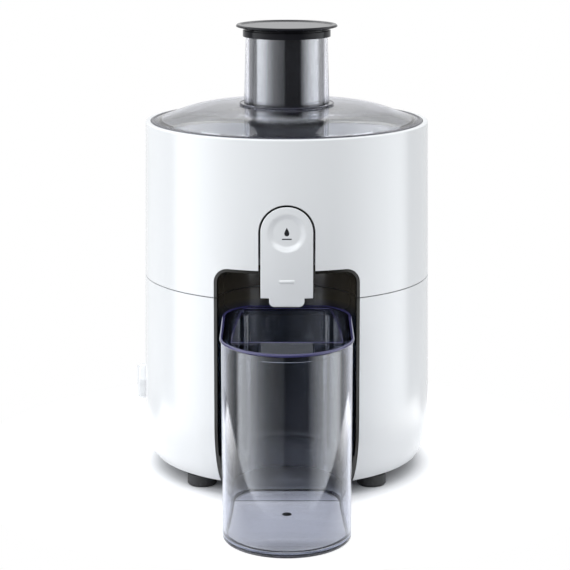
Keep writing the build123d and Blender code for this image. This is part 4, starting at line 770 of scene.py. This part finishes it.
class JUICER_OT_spout_cover(bpy.types.Operator):
    """Makes the rocker in front of the spout, with its finger dimple, ridge and drop mark, and painted shade
    in the gap round it.
    """
    bl_idname = "juicer.spout_cover"
    bl_label = "Spout cover"

    def execute(self, context):
        settings = context.scene.juicer_cover
        low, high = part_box("spout_cover")
        self.settings = settings
        self.half = high.x - settings.edge_gap
        self.centre = high.z - high.x
        self.tip_low = low.z
        self.shoulder = low.z + settings.tip_length
        shell_low, shell_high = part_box("upper_shell")
        self.seam = shell_low.z
        self.low_radius = shell_high.x
        self.rim = shell_high.z
        self.lean = settings.lean / (self.rim - self.seam)
        white = bpy.data.materials["white_gloss"]
        # The dark lining's material, used here as painted shade on the cover's sides and back and on a wall
        # round it.
        dark = bpy.data.materials["bay_plastic"]
        shape = bmesh.new()
        steps = settings.edge_steps
        rings = []
        for step in range(steps + 1):
            turn = pi / 2 * step / steps
            inset = settings.edge_round * (1.0 - cos(turn))
            rings.append(self.ring(shape, inset, settings.edge_round * (1.0 - sin(turn))))
        for outer, inner in zip(rings, rings[1:]):
            ring_faces(shape, outer, inner)
        self.fill(shape, rings[-1], settings.edge_round, settings.grid, self.surface)
        # The cover's sides, lip and back are dark: painted shade in the gap round the cover.
        side = self.ring(shape, 0.0, settings.thickness - settings.lip_depth)
        ring_faces(shape, side, rings[0], material=1)
        lip = self.ring(shape, -settings.lip, settings.thickness - settings.lip_depth)
        ring_faces(shape, lip, side, material=1)
        back = self.ring(shape, -settings.lip, settings.thickness)
        ring_faces(shape, back, lip, material=1)
        self.fill(shape, back, -settings.lip, settings.back_grid,
                  lambda x, z: self.skin(x, z) + settings.thickness, material=1)
        cover = new_piece("spout_cover_face", shape, "cover", white, dark)
        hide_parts("spout_cover")
        # A dark wall round the cover, inside the housing: painted shade in the gap.
        shade_wall = bmesh.new()
        front, rear = (self.ring(shade_wall, -settings.shade_wall_gap, depth)
                       for depth in (settings.shade_wall_start, settings.thickness))
        for corner in front + rear:
            corner.co.z = max(corner.co.z, self.shoulder)
        ring_faces(shade_wall, rear, front)
        new_piece("cover_shade_wall", shade_wall, "upper", dark)
        self.mark()
        return {"FINISHED"}

    def outline(self, inset):
        """Plan of the cover seen from the front, moved in by inset: tip, shoulders and arched top."""
        corner = self.settings.tip_corner
        tip = self.half - self.settings.tip_inset
        points = []
        for i in range(corner_steps + 1):
            turn = -pi / 2 + pi / 2 * i / corner_steps
            points.append((tip - corner + (corner - inset) * cos(turn),
                           self.tip_low + corner + (corner - inset) * sin(turn)))
        side = self.half - inset
        shoulder = self.shoulder + inset
        neck = shoulder - (shoulder - points[-1][1]) * neck_share
        points += [(tip - inset, neck), (tip - inset, shoulder)]
        points += [(tip - inset + (side - tip + inset) * i / shoulder_steps, shoulder)
                   for i in range(1, shoulder_steps + 1)]
        points += [(side, shoulder + (self.centre - shoulder) * i / side_steps) for i in range(1, side_steps)]
        turns = [pi / 2 * i / arch_steps for i in range(arch_steps)]
        points += [(side * cos(turn), self.centre + side * sin(turn)) for turn in turns]
        return points + [(0.0, self.centre + side)] + [(-x, z) for x, z in reversed(points)]

    def skin(self, x, z):
        """Where the housing's curve lies, without the dimple and the ridge."""
        radius = self.low_radius - self.lean * (z - self.seam)
        return -sqrt(radius * radius - x * x)

    def surface(self, x, z):
        """How far forward the cover's face is: the housing's curve, the dimple and the ridge."""
        settings = self.settings
        reach = -self.skin(x, z)
        away = sqrt(x * x + (z - self.centre) ** 2) / settings.dimple_radius
        if away < 1.0:
            share = min(1.0, (1.0 - away) / settings.dimple_edge)
            reach -= settings.dimple_depth * share * share * (3.0 - 2.0 * share)
        side = max(0.0, abs(x) - settings.ridge_half) / settings.ridge_soft
        height = abs(z - self.shoulder - settings.ridge_lift) / settings.ridge_soft
        slope = max(0.0, 1.0 - side * side - height * height)
        return -(reach + settings.ridge_rise * sqrt(slope))

    def ring(self, shape, inset, depth):
        """Vertices of the outline moved in by inset, at a depth behind the face."""
        return [shape.verts.new((x, self.surface(x, z) + depth, z)) for x, z in self.outline(inset)]

    def fill(self, shape, edge, inset, gap, surface, material=0):
        """Fills a face inside its ring, which is moved in by inset, on a grid that follows a surface."""
        flat = [Vector((corner.co.x, corner.co.z)) for corner in edge]
        inner = self.outline(inset + gap * grid_margin)
        columns = int(self.half / gap) + 1
        rows = int((self.centre + self.half - self.tip_low) / gap) + 1
        for row in range(rows):
            z = self.tip_low + gap * row
            reach = max((x for (x, a), (_, b) in zip(inner, inner[1:]) if min(a, b) <= z <= max(a, b)),
                        default=0.0)
            flat += [Vector((gap * column, z)) for column in range(-columns, columns + 1)
                     if abs(gap * column) < reach]
        count = len(edge)
        loop = [(i, (i + 1) % count) for i in range(count)]
        points, _, faces, origins, _, _ = delaunay_2d_cdt(flat, loop, [], 1, 1e-7)
        corners = []
        for point, origin in zip(points, origins):
            known = [i for i in origin if i < count]
            corners.append(edge[known[0]] if known
                           else shape.verts.new((point.x, surface(point.x, point.y), point.y)))
        for corner_numbers in faces:
            face = shape.faces.new([corners[i] for i in corner_numbers])
            face.material_index = material

    def mark(self):
        """Drop over a short bar, printed in the dimple."""
        settings = self.settings
        shape = bmesh.new()
        middle = self.centre + settings.drop_lift
        full = settings.drop_width / 2 * settings.drop_fullness
        drop = []
        for i in range(drop_steps):
            turn = 2.0 * pi * i / drop_steps
            narrow = (0.5 - 0.5 * cos(turn)) ** settings.drop_taper
            drop.append((full * sin(turn) * narrow, middle + settings.drop_height / 2 * cos(turn)))
        bar_z = self.centre - settings.bar_drop
        along = (-1.0, -0.5, 0.0, 0.5, 1.0)
        bar = [(x * settings.bar_length / 2, bar_z + z * settings.bar_height / 2)
               for x, z in [(x, -1) for x in along] + [(-x, 1) for x in along]]
        for outline in (drop, bar):
            front = [shape.verts.new((x, self.surface(x, z) - settings.print_lift, z)) for x, z in outline]
            back = [shape.verts.new((x, self.surface(x, z) + settings.print_lift, z)) for x, z in outline]
            ring_faces(shape, front, back)
            shape.faces.new(front)
        new_piece("drop_mark", shape, "cover", bpy.data.materials["print_black"])


class JUICER_OT_jug_details(bpy.types.Operator):
    """Adds beads of painted edge shade along the jug and its plate, and the mark of the moulding gate."""
    bl_idname = "juicer.jug_details"
    bl_label = "Jug details"

    def execute(self, context):
        tint = bpy.data.materials["indigo_painted_edge_shade"]
        dark = bpy.data.materials["dark_painted_edge_shade"]
        outlines = flat_loops("jug_lid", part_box("jug_lid")[1].z, True)
        if len(outlines) < 2:
            raise RuntimeError("the jug's plate has no mouth")
        rim, mouth = outlines[:2]
        size = context.scene.juicer_jug
        bead("jug_rim_edge", rim, size.rim_bead, "jug", tint, (0.0, 0.0, -size.rim_bead * size.bead_sink))
        bead("jug_mouth_edge", mouth, size.mouth_bead, "jug", tint,
             (0.0, 0.0, -size.mouth_bead * size.bead_sink))
        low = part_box("jug")[0]
        foot = flat_loops("jug", low.z, False)[0]
        bead("jug_foot_edge", foot, size.foot_bead, "jug", dark, (0.0, 0.0, size.foot_bead))
        self.gate(size, low)
        return {"FINISHED"}

    def gate(self, size, low):
        """Small round mark on the floor of the jug, where the plastic was let into the mould."""
        shape = bmesh.new()
        centre = Vector((0.0, low.y + size.gate_setback, low.z + size.floor_thickness))
        for share, height in ((1.0, 0.0), (0.9, size.gate_rise), (0.5, size.gate_rise)):
            place = Matrix.Translation(centre + Vector((0.0, 0.0, height)))
            bmesh.ops.create_circle(shape, segments=gate_steps, radius=size.gate_radius * share, matrix=place)
        shape.verts.ensure_lookup_table()
        foot, shoulder, top = (shape.verts[i * gate_steps:(i + 1) * gate_steps] for i in range(3))
        ring_faces(shape, foot, shoulder)
        ring_faces(shape, shoulder, top)
        shape.faces.new(top)
        new_piece("gate_mark", shape, "jug", bpy.data.materials["dark_rubber"])


class JUICER_OT_lid_details(bpy.types.Operator):
    """Adds beads of painted edge shade along the lid's edge, its rib and the foot of its chute."""
    bl_idname = "juicer.lid_details"
    bl_label = "Lid details"

    def execute(self, context):
        dark = bpy.data.materials["dark_painted_edge_shade"]
        size = context.scene.juicer_lid
        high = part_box("lid")[1]
        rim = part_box("upper_shell")[1].z
        chute = flat_loops("lid", high.z, True)[0]
        chute_radius = max(point.xy.length for point in chute)
        for name, radius, height, bead_radius in (
            ("lid_rim_edge", high.x - size.edge_bead, rim - size.edge_drop, size.edge_bead),
            ("lid_rib_edge", high.x - size.rib_inset, rim - size.rib_drop, size.rib_bead),
            ("chute_root_edge", chute_radius + size.root_reach, rim + size.root_rise, size.root_bead),
        ):
            turns = [2 * pi * i / circle_steps for i in range(circle_steps)]
            circle = [Vector((radius * cos(turn), radius * sin(turn), height)) for turn in turns]
            bead(name, circle, bead_radius, "lid", dark)
        return {"FINISHED"}


class JUICER_OT_interlock_coil(bpy.types.Operator):
    """Makes the interlock's spring between its seat and the rod's collar."""
    bl_idname = "juicer.interlock_coil"
    bl_label = "Interlock coil"

    def execute(self, context):
        size = context.scene.juicer_coil
        low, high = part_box("interlock_spring")
        centre = (low + high) / 2
        wire = size.wire_radius
        reach = (high.x - low.x) / 2 - wire
        shape = bmesh.new()
        steps = size.turns * size.steps
        rings = []
        for step in range(steps + 1):
            turn = 2 * pi * step / size.steps
            height = low.z + wire + (high.z - low.z - 2 * wire) * step / steps
            outward = Vector((cos(turn), sin(turn), 0.0))
            ring = []
            for side in range(size.sides):
                round_wire = 2 * pi * side / size.sides
                place = Vector((centre.x, centre.y, height)) + outward * (reach + wire * cos(round_wire))
                ring.append(shape.verts.new(place + Vector((0.0, 0.0, wire * sin(round_wire)))))
            rings.append(ring)
        for lower, upper in zip(rings, rings[1:]):
            ring_faces(shape, lower, upper)
        shape.faces.new(rings[0])
        shape.faces.new(rings[-1])
        coil = new_piece("interlock_coil", shape, None, bpy.data.materials["brushed_steel"])
        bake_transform(coil)
        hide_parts("interlock_spring")
        return {"FINISHED"}


class JUICER_PT_panel(bpy.types.Panel):
    """Lists the juicer's operators."""
    bl_idname = "JUICER_PT_panel"
    bl_label = "Juicer"
    bl_space_type = "VIEW_3D"
    bl_region_type = "UI"
    bl_category = "Juicer"

    def draw(self, context):
        for operator in operators:
            self.layout.operator(operator.bl_idname)


settings_groups = {"juicer_finishes": JuicerFinishes, "juicer_stage": JuicerStage,
                   "juicer_cover": JuicerCover, "juicer_jug": JuicerJug, "juicer_lid": JuicerLid,
                   "juicer_coil": JuicerCoil}
operators = (JUICER_OT_stage, JUICER_OT_finishes, JUICER_OT_spout_cover, JUICER_OT_jug_details,
             JUICER_OT_lid_details, JUICER_OT_interlock_coil)


def register():
    """Registers the classes and puts the settings on the scene."""
    for group in settings_groups.values():
        bpy.utils.register_class(group)
    for name, group in settings_groups.items():
        setattr(bpy.types.Scene, name, PointerProperty(type=group))
    for operator in operators:
        bpy.utils.register_class(operator)
    bpy.utils.register_class(JUICER_PT_panel)


def unregister():
    """Takes the settings and the classes away."""
    bpy.utils.unregister_class(JUICER_PT_panel)
    for operator in reversed(operators):
        bpy.utils.unregister_class(operator)
    for name, group in settings_groups.items():
        delattr(bpy.types.Scene, name)
        bpy.utils.unregister_class(group)


def main():
    """Runs the operators in order."""
    register()
    bpy.ops.juicer.stage()
    bpy.ops.juicer.finishes()
    bpy.ops.juicer.spout_cover()
    bpy.ops.juicer.jug_details()
    bpy.ops.juicer.lid_details()
    bpy.ops.juicer.interlock_coil()


if __name__ == "__main__":
    main()
